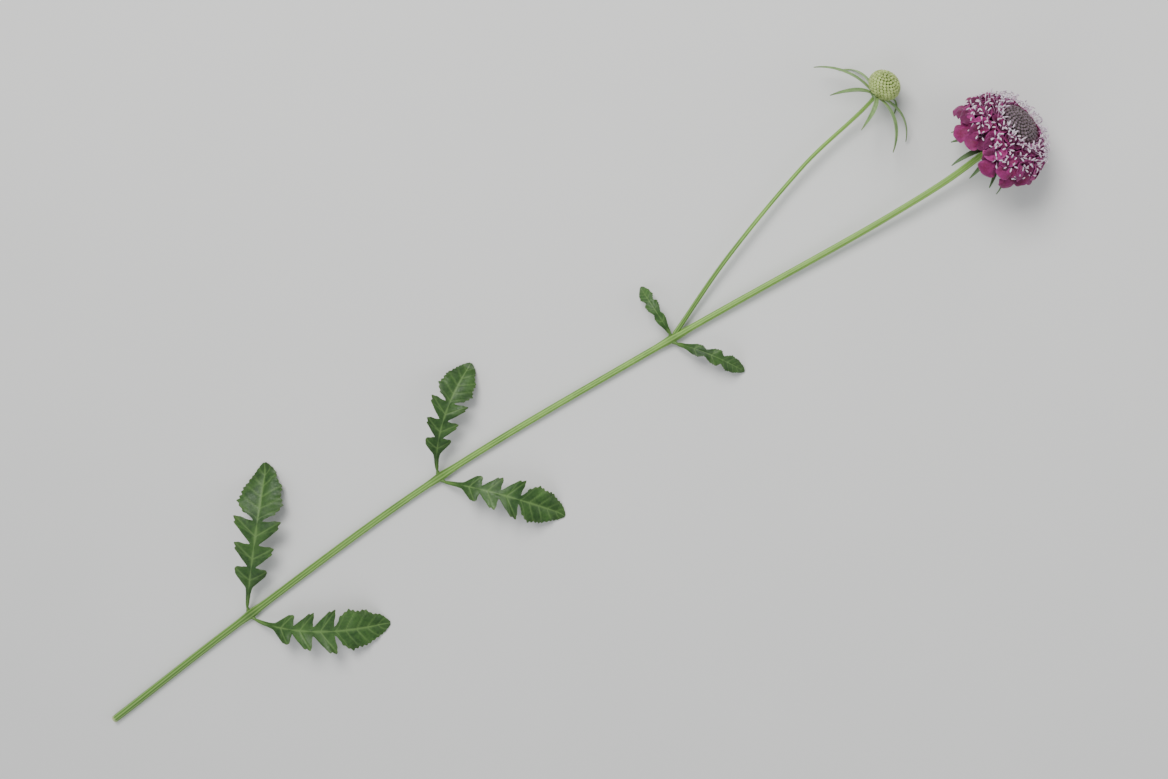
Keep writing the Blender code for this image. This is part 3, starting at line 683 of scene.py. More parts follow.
YOUNG_BRACT = Finish(
    name="bract_young_green",
    root=(0.200, 0.330, 0.080), deep=(0.105, 0.200, 0.062), pale=(0.185, 0.300, 0.105),
    tip=(0.105, 0.150, 0.060), edge=(0.260, 0.360, 0.180), rib=(0.300, 0.430, 0.170),
    cells=300.0, root_reach=0.30, tip_reach=0.2, edge_share=0.5, rib_share=0.65, tone_share=0.5,
    smoothest=0.42, roughest=0.66, rib_height=0.5, sheen=0.05, softness=0.08,
    soft_reach=(0.4, 0.7, 0.2),
)
# The leaf colours are the leaves' own dark green, darkened further as painted shade.
LEAF = Finish(
    name="leaf_dark_green_and_painted_shade",
    root=(0.080, 0.165, 0.034), deep=(0.015, 0.045, 0.010), pale=(0.038, 0.090, 0.020),
    tip=(0.026, 0.062, 0.014), edge=(0.065, 0.105, 0.028), rib=(0.115, 0.205, 0.060),
    cells=95.0, root_reach=0.16, tip_reach=0.10, edge_share=0.45, rib_share=0.70, tone_share=0.6,
    smoothest=0.34, roughest=0.58, relief_cells=2400.0, relief_depth=0.00006, rib_height=0.4,
    sheen=0.04, softness=0.06, soft_reach=(0.3, 0.7, 0.15),
)

# The route of the main stem from its cut end, and of the side shoot from inside the stem
STEM_KNOTS = (
    (-0.3250, -0.0210, 0.00205),
    (-0.2050, -0.0120, 0.00225),
    (-0.0550, -0.0050, 0.00240),
    (0.1030, -0.0110, 0.00290),
    (0.2350, -0.0190, 0.00690),
)
SHOOT_KNOTS = ((0.1050, -0.0095, 0.0034), (0.1540, 0.0100, 0.0068), (0.2130, 0.0280, 0.0072))

# The frames of the head and of the bud, from the top of the green disc that each stands on
HEAD_FRAME = flower_frame((0.2986, -0.0170, 0.0213), math.radians(30), math.radians(7))
BUD_FRAME = flower_frame((0.2640, 0.0375, 0.0125), math.radians(24), math.radians(16))

# A closed floret, as shares of its size: radius and height of each ring, and how deep its folds are there
KNOB_PROFILE = np.array((
    (0.55, -1.10), (0.92, -0.45), (1.02, 0.05), (0.95, 0.42),
    (0.74, 0.70), (0.46, 0.82), (0.20, 0.76), (0.05, 0.62),
))
KNOB_FOLDS = np.array((0.0, 0.05, 0.12, 0.18, 0.24, 0.26, 0.2, 0.0))

# How wide a bract is along its length, as a share of its greatest width
BRACT_KEYS = (0.0, 0.18, 0.36, 0.54, 0.70, 0.84, 0.94, 1.0)
BRACT_WIDTHS = (0.62, 0.92, 1.0, 0.96, 0.80, 0.56, 0.30, 0.12)


@dataclass
class Floret:
    """One open floret: a tube that spreads into five lobes, the outer one longest.

    It is grown from 0 for a small inner floret to 1 for the largest outer one. Of its slimness and
    last lean, the first is a small floret's, and the others are for the lobes of a large one that
    point inwards and outwards. Spread and leans are in degrees. The tube's radii are at the root,
    and at the throat of a small and of a large floret.
    """

    index: int
    angle: float
    turn: float
    grown: float
    throat_radius: float = 0.0190
    throat_height: float = 0.0125
    throat_centre: float = 0.0050
    longest_lobe: float = 0.0128
    shortest_lobe: float = 0.0043
    lobes: int = 5
    lobe_spread: tuple[int, ...] = (0, 6, 7, -7, -6)
    inward_share: float = 0.46
    slimness: tuple[float, float, float] = (0.34, 0.30, 0.37)
    first_lean: tuple[int, int] = (16, 20)
    last_lean: tuple[int, int, int] = (62, 66, 94)
    throat_room: float = 0.0007
    fullness: float = 1.22
    underside: float = math.radians(64)
    tube_rings: int = 10
    tube_sides: int = 10
    tube_radii: tuple[float, float, float] = (0.00045, 0.0009, 0.0013)
    tube_clearance: float = 0.0012

    def __post_init__(self) -> None:
        """Works out the floret's throat and the three directions round it."""
        outwards = np.array((math.cos(self.turn), math.sin(self.turn), 0.0))
        sine, cosine = math.sin(self.angle), math.cos(self.angle)
        self.outwards = outwards
        self.throat = outwards * self.throat_radius * sine
        self.throat[2] = self.throat_centre + self.throat_height * cosine
        self.normal = unit(outwards * (sine / self.throat_radius) + UP * (cosine / self.throat_height))
        self.across = unit(np.cross(self.normal, outwards))
        self.away = np.cross(self.across, self.normal)
        self.length = mix(self.shortest_lobe, self.longest_lobe, self.grown)

    def outline(self, v: Array) -> Array:
        """Half width of a lobe along its length.

        Args:
            v: places from its throat, 0, to its rounded tip, 1.

        Returns:
            The half width there as a share of the greatest.
        """
        widest = 0.70
        past_tip = 1.022
        rising = mix(0.24, 1.0, np.clip(v / widest, 0, 1) ** 1.15)
        closing = np.clip((v - widest) / (past_tip - widest), 0, 1)
        return np.where(v < widest, rising, np.sqrt(1 - closing**2.3))

    def lobe(self, k: int, u: Array, v: Array) -> Array:
        """The middle of one lobe.

        Args:
            k: which lobe.
            u: places across it, from -1 to 1.
            v: places along it, from 0 to 1.

        Returns:
            The points in the head's frame, with x, y, z on a last axis.
        """
        tag = self.index * self.lobes + k
        spread = self.lobe_spread[k] * self.grown
        turn = 2 * math.pi * k / self.lobes + math.radians(spread) + 0.12 * wobble(self.index, 3)
        outer = (1 + math.cos(turn)) / 2
        length = self.length * mix(mix(1.0, self.inward_share, self.grown), 1, outer)
        length *= 1 + 0.07 * wobble(tag, 4)
        small, *large = self.slimness
        half_width = length * mix(small, mix(*large, outer), self.grown) * self.fullness
        heading = self.away * math.cos(turn) + self.across * math.sin(turn)
        beside = self.across * math.cos(turn) - self.away * math.sin(turn)
        first = math.radians(mix(*self.first_lean, self.grown))
        small, *large = self.last_lean
        last = math.radians(mix(small, mix(*large, outer), self.grown)) + 0.14 * wobble(tag, 5)
        now = first + (last - first) * v
        reach = length * (math.cos(first) - np.cos(now)) / (last - first)
        rise = length * (np.sin(now) - math.sin(first)) / (last - first)
        facing = self.normal * np.sin(now)[..., None] - heading * np.cos(now)[..., None]
        room = (reach + self.throat_room) * 0.80
        wide = half_width * self.outline(v)
        wide = np.where(v < 0.45, np.minimum(wide, mix(room, wide, smooth(v / 0.45))), wide)
        roll = 0.65 * u**2 + 0.35 * u**4 + 0.22 * wobble(tag, 17) * u * np.abs(u)
        bulge = mix(-0.14, 0.42, self.grown * smooth(v * 1.3)) * roll
        curl = self.grown * (0.24 - 0.30 * wobble(tag, 18)) * smooth((v - 0.66) / 0.36) ** 2
        ruffle = np.sin(4.4 * v * mix(1.0, 2.2, self.grown) + 3.0 * wobble(tag, 12) + 2.0 * u)
        frill = np.sin(19.0 * v + 7.0 * u + 3.0 * wobble(tag, 16))
        edge_wave = mix(0.13, 0.19, self.grown) * ruffle + 0.055 * self.grown * frill
        crinkle = 0.034 * np.sin(9.0 * u + 5.0 * wobble(tag, 13) + 3.0 * v) * smooth(v)
        lift = (edge_wave * np.abs(u) ** 3 * smooth(v * 1.4) + crinkle - bulge) * wide - curl * half_width
        point = self.throat + heading * reach[..., None] + self.normal * rise[..., None]
        return point + beside * (u * wide)[..., None] + facing * lift[..., None]

    def petals(self, mould: Mould, place: Array, rows: Array, columns: int, thickness: float) -> None:
        """Adds the five lobes.

        Args:
            mould: the skin that they go in.
            place: the head's frame.
            rows: the places along each lobe that get a row of points.
            columns: how many points each row has.
            thickness: how thick a lobe is near its throat.
        """
        u, v = np.meshgrid(np.linspace(-1, 1, columns), rows)
        for k in range(self.lobes):
            grid = laid(into_world(place, self.lobe(k, u, v)), thickness / 2)
            edge = np.maximum(smooth((np.abs(u) - 0.72) / 0.28) * smooth(v * 1.5), smooth((v - 0.93) / 0.09))
            fan = 0.5 + 0.5 * np.cos(u * 11.0 + 0.8 * wobble(self.index, k))
            veins = fan**3 * (1 - 0.75 * smooth(v)) * smooth(v * 4)
            tone = 0.55 * wobble(self.index * self.lobes + k, 14) + 0.25 * self.grown - 0.15
            mould.sheet(grid, thickness * (1 - 0.45 * v), masks_of(u.shape, v, edge, veins, tone), -0.3)

    def tube(self, mould: Mould, place: Array) -> None:
        """Adds the floret's tube, from the receptacle to its throat.

        Args:
            mould: the skin that it goes in.
            place: the head's frame.
        """
        t = np.linspace(0, 1, self.tube_rings)[:, None]
        if self.angle > self.underside:
            root = self.outwards * 0.0044 + UP * 0.0004
            pull = self.outwards * 0.0135 + UP * 0.0010
        else:
            root = self.outwards * 0.0060 * math.sin(self.angle)
            root = root + UP * (0.0012 + 0.0075 * math.cos(self.angle))
            pull = self.throat - self.normal * 0.0045
        curve = arched(root, pull, self.throat + self.normal * 0.0004, t)
        root_radius, *throat_radii = self.tube_radii
        radii = mix(root_radius, mix(*throat_radii, self.grown), t[:, 0] ** 1.5)
        flute = 1 + 0.10 * np.cos(self.lobes * turns_of(self.tube_sides))
        shape = (self.tube_rings, self.tube_sides)
        masks = masks_of(shape, t, 0, (flute - 0.9) * 3, 0.6 * wobble(self.index, 15))
        curve = laid(into_world(place, curve), self.tube_clearance)
        mould.tube(curve, radii[:, None] * flute, masks, HAIR_CLEARANCE)


@dataclass
class Bloom:
    """The open florets of the head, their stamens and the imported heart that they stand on."""

    outer_florets: int = 21
    outer_angles: tuple[float, float] = (math.radians(88), math.radians(70))
    ring_angles: tuple[float, ...] = (math.radians(60.5), math.radians(44.5))
    ring_florets: int = 17
    opening_angle: float = math.radians(37.5)
    opening_florets: int = 15
    filling_florets: int = 13
    filling_angles: tuple[float, float] = (math.radians(72), math.radians(65))
    petal_thickness: float = 0.00034
    stamen_reach: float = 0.0064
    anther_length: float = 0.0021
    anther_radius: float = 0.00032
    thread_radii: tuple[float, float] = (0.00013, 0.00010)
    thread_clearance: float = 0.0010
    anther_clearance: float = 0.0006
    stamens_each: int = 5
    florets: list[Floret] = field(default_factory=list)

    def __post_init__(self) -> None:
        """Places the florets as the solids have them, with a ring of opening ones inside."""
        first, last = self.outer_angles
        for index in range(self.outer_florets):
            share = index / (self.outer_florets - 1)
            angle = math.acos(mix(math.cos(first), math.cos(last), share))
            turn = index * GOLDEN_ANGLE + 0.08 * wobble(index, 2)
            self.florets.append(Floret(index, angle, turn, mix(1.0, 0.62, share)))
        for ring, ring_angle in enumerate(self.ring_angles):
            for spot in range(self.ring_florets):
                index = len(self.florets)
                turn = 2 * math.pi * (spot + ring / 2) / self.ring_florets + 0.02 * wobble(index, 2)
                angle = ring_angle + 0.012 * wobble(index, 1)
                grown = 0.10 * (1 - ring)
                self.florets.append(Floret(index, angle, turn, grown, fullness=1.35))
        for spot in range(self.opening_florets):
            index = len(self.florets)
            turn = 2 * math.pi * (spot + 0.25) / self.opening_florets + 0.05 * wobble(index, 2)
            angle = self.opening_angle + 0.02 * wobble(index, 1)
            self.florets.append(Floret(index, angle, turn, 0.0, shortest_lobe=0.0030, fullness=1.3))
        for spot in range(self.filling_florets):
            index = len(self.florets)
            share = spot / (self.filling_florets - 1)
            turn = (self.outer_florets + spot) * GOLDEN_ANGLE + 0.08 * wobble(index, 2)
            angle = mix(*self.filling_angles, share)
            self.florets.append(Floret(index, angle, turn, mix(0.50, 0.26, share)))

    def petals(self) -> None:
        """Builds every lobe and tube, the large outer florets as one piece and the others as one."""
        outer, inner, tubes = Mould(), Mould(), Mould()
        many = np.concatenate([np.linspace(0, 0.88, 14), (0.915, 0.945, 0.97, 0.988, 1.002, 1.012, 1.019)])
        few = np.concatenate([np.linspace(0, 0.84, 7), (0.91, 0.96, 0.99, 1.008, 1.018)])
        for floret in self.florets:
            large = floret.index < self.outer_florets
            mould, rows, columns = (outer, many, 13) if large else (inner, few, 7)
            floret.petals(mould, HEAD_FRAME, rows, columns, self.petal_thickness)
            floret.tube(tubes, HEAD_FRAME)
        tubes.make("bloom_floret_tubes", TUBE, "bloom", "petal")
        outer.make("bloom_outer_petals", PETAL, "bloom", "petal")
        inner.make("bloom_inner_petals", PETAL, "bloom", "petal")

    def heart(self) -> None:
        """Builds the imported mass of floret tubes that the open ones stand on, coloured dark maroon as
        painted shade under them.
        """
        profile = np.array((
            (0.0028, 0.0006), (0.0058, 0.0014), (0.0098, 0.0029), (0.0134, 0.0047), (0.0160, 0.0064),
            (0.0172, 0.0080), (0.0170, 0.0098), (0.0155, 0.0119), (0.0135, 0.0136), (0.0112, 0.0148),
            (0.0080, 0.0152), (0.0040, 0.0154),
        ))
        rows = np.linspace(0, len(profile) - 1, 40)
        radius, height = finer(profile, rows)
        turns = turns_of(16 * self.ring_florets)
        stagger = 0.35 * np.sin(3 * turns + 0.7)
        packed = np.abs(np.cos(self.ring_florets * turns + stagger)) ** 0.6
        knobs = packed * (0.5 + 0.5 * np.cos(rows[:, None] * 2.6 + 2.4 * stagger))
        radii = radius[:, None] * (0.95 + 0.04 * packed) + 0.0003 * knobs
        along = np.broadcast_to((rows / rows[-1])[:, None], radii.shape)
        # The tone is lighter on the knobs and darker between the packed tubes: painted shade in the gaps.
        masks = masks_of(radii.shape, along, 0, packed * (1 - along), 0.5 * knobs - 0.5 * (1 - packed))
        mould = Mould()
        mould.lathe(HEAD_FRAME, radii, height, masks)
        mould.make("bloom_heart_painted_shade", HEART_SHADE, "bloom", "petal")

    def stamen(self, thread: Mould, anthers: Mould, floret: Floret, which: int) -> None:
        """Adds one stamen: a thread that arches out of the throat, and the anther across its end.

        Args:
            thread: the skin that the filament goes in.
            anthers: the skin that the anther goes in.
            floret: the floret that it stands in.
            which: its number in the floret.
        """
        tag = floret.index * self.stamens_each + which
        turn = 2 * math.pi * (which + 0.5) / self.stamens_each + 0.5 * wobble(tag, 20)
        side = floret.away * math.cos(turn) + floret.across * math.sin(turn)
        reach = self.stamen_reach * (1 + 0.20 * wobble(tag, 21)) * mix(1.0, 0.86, floret.grown)
        reach *= mix(0.55, 1.0, min(floret.angle / self.ring_angles[1], 1.0) ** 3)
        splay = 0.38 + 0.20 * wobble(tag, 22)
        t = np.linspace(0, 1, 6)[:, None]
        rise = floret.normal * reach * t
        out = side * reach * splay * t**1.7
        curve = laid(into_world(HEAD_FRAME, floret.throat + rise + out), self.thread_clearance)
        thin = np.repeat(mix(*self.thread_radii, t), 5, axis=1)
        thread.tube(curve, thin, masks_of((6,), t[:, 0], 0, 0, 0.2 * wobble(tag, 23)))
        away = unit(curve[-1] - curve[-2])
        heading = unit(HEAD_FRAME[:3, :3] @ (side * 0.9 + floret.across * wobble(tag, 24)) + away * 0.35)
        half = self.anther_length * (0.5 + 0.08 * wobble(tag, 25))
        s = np.array((-1.0, -0.86, -0.5, 0.0, 0.5, 0.86, 1.0))
        spine = curve[-1] + heading * (s * half)[:, None] + away * (0.12 * half * (1 - s**2))[:, None]
        spine = laid(spine, self.anther_clearance)
        fat = self.anther_radius * np.sqrt(np.clip(1.08 - s**2, 0.02, 1))
        lobed = 1 + 0.16 * np.cos(2 * turns_of(8))
        seam = np.broadcast_to((1.16 - lobed) / 0.32, (7, 8))
        anthers.tube(spine, fat[:, None] * lobed, masks_of((7, 8), 0.5, seam, 0, 0.5 * wobble(tag, 26)))

    def stamens(self) -> None:
        """Builds the threads and the pale anthers of all open florets."""
        thread, anthers = Mould(), Mould()
        for floret in self.florets:
            for which in range(self.stamens_each):
                if wobble(floret.index * self.stamens_each + which, 27) > -0.80:
                    self.stamen(thread, anthers, floret, which)
        thread.make("bloom_filaments", FILAMENT, "bloom", "petal")
        anthers.make("bloom_anthers", ANTHER, "bloom", "petal")

    def build(self) -> None:
        """Builds the whole bloom."""
        self.petals()
        self.heart()
        self.stamens()


class Crown(enum.Enum):
    """The form that the closed florets of a head stand on."""

    BUTTON = "the flat button in the middle of an open head"
    BALL = "the rounded ball of a young bud"


@dataclass
class ClosedFlorets:
    """The closed florets of a button or a bud, with the bristles that stand between them."""

    crown: Crown
    place: Array
    count: int
    knob_radius: float
    bristle_length: float
    bristles_each: int
    piece: str
    bristle_piece: str
    node: str
    slot: str
    finish: Finish
    bristle_finish: Finish
    brim: float = 0.0122
    base: float = 0.0156
    height: float = 0.0058
    ball_radius: float = 0.0082
    ball_middle: float = 0.0064
    ball_squash: float = 0.78
    ball_lowest: float = -0.80
    bristle_radius: float = 0.00009
    knob_sides: int = 15
    body_sides: int = 48

    def spots(self) -> tuple[Array, Array, Array]:
        """The places of the florets.

        Returns:
            Their points and their outward normals in the head's frame, and the share of the way out.
        """
        share, turn = dome_spots(self.count).T
        if self.crown is Crown.BUTTON:
            radius = self.brim * 0.96 * np.sqrt(share)
            height = self.base + self.height * (1 - 0.72 * share**1.6) - 0.0005
            slope = self.height * 0.72 * 1.6 * 2 * np.sqrt(share) ** 2.2 / self.brim
            outward = np.stack([slope * np.cos(turn), slope * np.sin(turn), np.ones_like(share)], axis=1)
        else:
            level = mix(1.0, self.ball_lowest, share)
            ring = np.sqrt(1 - level**2)
            radius = (self.ball_radius - 0.0003) * ring
            height = self.ball_middle + (self.ball_radius - 0.0003) * self.ball_squash * level
            outward = np.stack([ring * np.cos(turn), ring * np.sin(turn), level / self.ball_squash], axis=1)
        points = np.stack([radius * np.cos(turn), radius * np.sin(turn), height], axis=1)
        return points, unit(outward), share

    def knob(self, mould: Mould, point: Array, normal: Array, share: float, index: int) -> None:
        """Adds one closed floret: five folded lobes that meet in a dimple.

        Args:
            mould: the skin that it goes in.
            point: its place in the head's frame.
            normal: its outward direction.
            share: its share of the way out.
            index: its number.
        """
        across = unit(np.cross(normal, (0.3, 1.0, 0.2)))
        local = np.eye(4)
        local[:3, 0], local[:3, 1], local[:3, 2] = across, np.cross(normal, across), normal
        local[:3, 3] = point
        size = self.knob_radius * (1 + 0.08 * wobble(index, 30)) * mix(0.90, 1.08, share)
        widths, heights = KNOB_PROFILE.T
        depth = KNOB_FOLDS[:, None]
        seam = (0.5 - 0.5 * np.cos(5 * turns_of(self.knob_sides) + wobble(index, 31))) ** 2
        radii = size * widths[:, None] * (1 - depth * seam)
        along = np.clip((heights - heights[0]) / np.ptp(heights), 0, 1)
        purple = smooth((share - 0.55) / 0.45) if self.crown is Crown.BUTTON else 0.0
        folds = seam * (depth > 0.1)
        # The folds take the finish's dark edge colour: painted shade in the creases between the lobes.
        masks = masks_of(radii.shape, along[:, None], folds, purple, 0.6 * wobble(index, 32))
        mould.lathe(self.place @ local, radii, size * heights, masks)

    def body(self, mould: Mould) -> None:
        """Adds the solid that the florets are set in, coloured dark as painted shade in the gaps between
        them.

        Args:
            mould: the skin that it goes in.
        """
        if self.crown is Crown.BUTTON:
            rise = ((0.0085, -0.0024), (0.0110, -0.0002), (0.0114, 0.0012),
                    (0.0088, 0.0030), (0.0050, 0.0043), (0.0012, 0.0048))
            profile = np.array(rise) + np.array((0.0, self.base))
        else:
            level = np.linspace(-0.96, 0.98, 9)
            core = self.ball_radius - 0.0009
            height = self.ball_middle + core * self.ball_squash * level
            profile = np.stack([core * np.sqrt(1 - level**2), height], axis=1)
        radii = profile[:, :1] * (1 + 0.03 * np.cos(16 * turns_of(self.body_sides)))
        # The body takes the root colour and a darker tone: painted shade seen between the florets.
        mould.lathe(self.place, radii, profile[:, 1], masks_of(radii.shape, 0.05, 0.2, 0, -0.2))

    def build(self) -> None:
        """Builds the florets as one piece and their bristles as another."""
        mould, bristles = Mould(), Mould()
        self.body(mould)
        points, normals, shares = self.spots()
        for index, (point, normal, share) in enumerate(zip(points, normals, shares)):
            self.knob(mould, point, normal, float(share), index)
        mould.make(self.piece, self.finish, self.node, self.slot)
        roots, tips = [], []
        for index, (point, normal) in enumerate(zip(points, normals)):
            across = unit(np.cross(normal, (0.3, 1.0, 0.2)))
            over = np.cross(normal, across)
            for which in range(self.bristles_each):
                tag = index * self.bristles_each + which
                turn = 2 * math.pi * (which + 0.4 * wobble(tag, 33)) / self.bristles_each + 0.6
                side = across * math.cos(turn) + over * math.sin(turn)
                root = point + side * self.knob_radius * 0.92
                lean = normal + side * (0.10 + 0.22 * wobble(tag, 34))
                roots.append(root)
                tips.append(root + unit(lean) * self.bristle_length * (1 + 0.25 * wobble(tag, 35)))
        roots = into_world(self.place, np.array(roots))
        tips = laid(into_world(self.place, np.array(tips)), 3 * HAIR_CLEARANCE)
        bristles.spikes(roots, tips, self.bristle_radius, np.array((0.6, 0.0, 0.0, 0.0)))
        bristles.make(self.bristle_piece, self.bristle_finish, None, self.slot)


@dataclass
class BractRing:
    """The green disc under a head or bud with its ring of narrow bracts."""

    place: Array
    piece: str
    node: str
    disc: tuple[tuple[float, float], ...]
    count: int
    length: float
    half_width: float
    root: float
    start: float
    under_head: bool
    finish: Finish
    thickness: float = 0.00042
    salt: int = 0
    clearance: float = 0.0004
    rows: int = 30
    hairs_a_side: int = 13
    disc_sides: int = 66

    def course(self, index: int) -> tuple[float, float, float, float]:
        """How one bract runs.

        Args:
            index: its number.

        Returns:
            Its turn round the axis, its length, and its first and last lean from the axis.
        """
        offset, start, salt = (0.5, math.radians(90), 7) if self.under_head else (0.3, 0.0, 9)
        turn = 2 * math.pi * (index + offset) / self.count + start
        down = float(smooth(-math.sin(turn) * 1.6 - 0.4))
        length = self.length * (1 + 0.10 * wobble(index, salt)) * mix(1, 0.80, down)
        if self.under_head:
            return turn, length, math.radians(mix(94, 102, down)), math.radians(158 + 14 * wobble(index, 8))
        first = math.radians(78 + 5 * wobble(index, 10))
        return turn, length, first, math.radians(140 + 16 * wobble(index, 11))

    def blade(self, mould: Mould, index: int) -> None:
        """Adds one bract, with a raised midrib and a fringe of hairs.

        Args:
            mould: the skin that it goes in.
            index: its number.
        """
        turn, length, first, last = self.course(index)
        outwards = np.array((math.cos(turn), math.sin(turn), 0.0))
        beside = np.array((-math.sin(turn), math.cos(turn), 0.0))
        u, t = np.meshgrid(np.linspace(-1, 1, 9), np.linspace(0, 1, self.rows))
        wide = self.half_width * np.interp(t, BRACT_KEYS, BRACT_WIDTHS)
        now = first + (last - first) * t**1.25
        reach = length * t * np.sin((first + now) / 2)
        rise = length * t * np.cos((first + now) / 2)
        centre = outwards * (self.root + reach)[..., None] + UP * (self.start + rise)[..., None]
        facing = UP * np.sin(now)[..., None] - outwards * np.cos(now)[..., None]
        sway = 0.10 * np.sin(5.0 * t + 2.0 * wobble(index, 40 + self.salt)) * length * 0.16 * t
        groove = -0.10 * np.exp(-((u / 0.16) ** 2)) * self.half_width * (1 - t)
        fold = np.abs(u) * wide * 0.30 + groove
        grid = centre + beside * (u * wide + sway)[..., None] + facing * fold[..., None]
        grid = laid(into_world(self.place, grid), self.clearance)
        side_ribs = 0.3 * np.exp(-(((np.abs(u) - 0.5) / 0.10) ** 2)) * (1 - t)
        rib = np.exp(-((u / 0.20) ** 2)) * (1 - 0.6 * t) + side_ribs
        edge = smooth((np.abs(u) - 0.75) / 0.25)
        thick = self.thickness * (1 + 0.7 * np.exp(-((u / 0.25) ** 2)) * (1 - t))
        mould.sheet(grid, thick, masks_of(u.shape, t, edge, rib, 0.5 * wobble(index, 41 + self.salt)), 0.25)
        fringed = np.linspace(2, self.rows - 3, self.hairs_a_side).astype(int)
        mould.fringe(grid, fringed, 0.6, np.array((0.5, 1.0, 0.0, 0.4)))

    def build(self) -> None:
        """Builds the disc and all its bracts as one piece."""
        mould = Mould()
        profile = np.array(self.disc)
        radius, height = finer(profile, np.linspace(0, len(profile) - 1, 4 * len(profile)))
        turns = turns_of(self.disc_sides)
        radii = radius[:, None] * (1 + 0.035 * np.cos(self.count * turns))
        rib = np.broadcast_to(0.5 + 0.5 * np.cos(self.count * turns), radii.shape)
        mould.lathe(self.place, radii, height, masks_of(radii.shape, 0.3, 0, rib * 0.6, 0))
        for index in range(self.count):
            self.blade(mould, index)
        mould.make(self.piece, self.finish, self.node, "bract_green")


@dataclass
class RibbedStem:
    """A ribbed stem or shoot, from its foot to the disc that it carries."""

    piece: str
    node: str
    knots: tuple[Point, ...]
    place: Array
    top: float
    pull: float
    ribs: int
    foot_radius: float
    neck_radius: float
    swellings: tuple[Point, ...] = ()
    swelling: float = 0.32
    swelling_length: float = 0.0065
    node_shade_length: float = 0.006
    cut_foot: bool = False
    rings_per_stretch: int = 56
    sides: int = 48
    hairs: int = 1500
    hair_length: float = 0.0007

    def centres(self) -> Array:
        """The middle of the stem.

        Returns:
            One point for each ring.
        """
        axis = self.place[:3, 2]
        top = into_world(self.place, np.array((0.0, 0.0, self.top)))
        return route((*self.knots, tuple(top)), axis * self.pull, self.rings_per_stretch)

    def radius(self, x: Array) -> Array:
        """The stem's radius.

        Args:
            x: places along X.

        Returns:
            The radius at each, with the swollen nodes.
        """
        ends = self.knots[0][0], self.place[0, 3]
        along = np.clip((x - ends[0]) / (ends[1] - ends[0]), 0, 1)
        found = mix(self.foot_radius, self.neck_radius, smooth(along) * 0.4 + along * 0.6)
        for knot in self.swellings:
            found = found * (1 + self.swelling * np.exp(-(((x - knot[0]) / self.swelling_length) ** 2)))
        return found

    def build(self) -> None:
        """Builds the ribbed tube with its hairs as one piece."""
        centres = self.centres()
        radius = self.radius(centres[:, 0])
        turns = turns_of(self.sides, 0.5)
        twist = np.linspace(0, 0.9, len(centres))[:, None]
        crest = np.cos(self.ribs * (turns + twist)) * 0.5 + 0.5
        wander = 0.012 * np.sin(np.linspace(0, 44, len(centres)))[:, None]
        radii = radius[:, None] * (0.955 + 0.085 * crest**1.5 + wander)
        along = np.linspace(0, 1, len(centres))[:, None]
        near = np.zeros_like(along)
        for knot in self.swellings:
            near = near + np.exp(-(((centres[:, :1] - knot[0]) / self.node_shade_length) ** 2))
        edge = np.zeros_like(radii)
        edge[:1] = float(self.cut_foot)
        tone = 0.25 * np.sin(9 * along + 2 * turns) - 0.45 * near
        masks = masks_of(radii.shape, along, edge, crest**2, tone)
        mould = Mould()
        mould.tube(centres, radii, masks, 0.0)
        if self.cut_foot:
            self.cut_face(mould, centres, radii[0])
        self.hair_coat(mould, centres, radius)
        mould.make(self.piece, STEM, self.node, "stem_green")

    def cut_face(self, mould: Mould, centres: Array, radii: Array) -> None:
        """Adds the fresh cut: a fibrous rim round paler pith with a small hollow, whose dips are darkened as
        painted shade.

        Args:
            mould: the skin that it goes in.
            centres: the middle of the stem.
            radii: the radius of each side at the foot.
        """
        way = Vector(centres[0] - centres[1]).normalized()
        turned = Vector(UP).rotation_difference(way).to_matrix().to_4x4()
        place = np.array(Matrix.Translation(centres[0]) @ turned)
        shares = np.array((0.80, 0.90, 0.86, 0.78, 0.60, 0.36, 0.24, 0.20, 0.08))
        heights = np.array((-0.0012, 0.00004, 0.00012, 0.00009, 0.00014, 0.00012, 0.00006, 0.00002, 0.00001))
        grain = 1 + 0.04 * np.cos(16 * turns_of(len(radii)))
        face = shares[:, None] * radii.mean() * 0.97 * grain
        # The hollow mask dims the pith and darkens the ring groove and the middle hollow: painted shade in
        # the dips.
        hollow = np.array((0.0, 0.0, 0.4, 0.6, 0.0, 0.0, 0.5, 1.0, 1.0))[:, None]
        masks = masks_of(face.shape, 0.0, 1.0 - 0.8 * hollow, 0.0, -0.5 * hollow)
        mould.lathe(place, face, heights, masks)

    def hair_coat(self, mould: Mould, centres: Array, radius: Array) -> None:
        """Adds the short hairs that stand off the stem.

        Args:
            mould: the skin that they go in.
            centres: the middle of the stem.
            radius: its radius at each.
        """
        index = np.arange(self.hairs)
        spot = np.clip(((index * 0.618034) % 1.0) ** 0.8 * (len(centres) - 2), 1, len(centres) - 2)
        low = spot.astype(int)
        share = (spot - low)[:, None]
        middle = mix(centres[low], centres[low + 1], share)
        way = unit(centres[low + 1] - centres[low])
        across = unit(np.cross(UP, way))
        over = np.cross(way, across)
        turn = (index * GOLDEN_ANGLE)[:, None]
        out = across * np.cos(turn) + over * np.sin(turn)
        roots = middle + out * (radius[low] * 0.93)[:, None]
        scatter = np.array([wobble(i, 50) for i in range(self.hairs)])[:, None]
        tips = roots + unit(out + way * (0.2 + 0.5 * scatter)) * (self.hair_length * (1 + 0.3 * scatter))
        kept = tips[:, 2] > 3 * HAIR_CLEARANCE
        mould.spikes(roots[kept], tips[kept], HAIR_RADIUS, np.array((0.9, 0.0, 0.8, 0.9)))


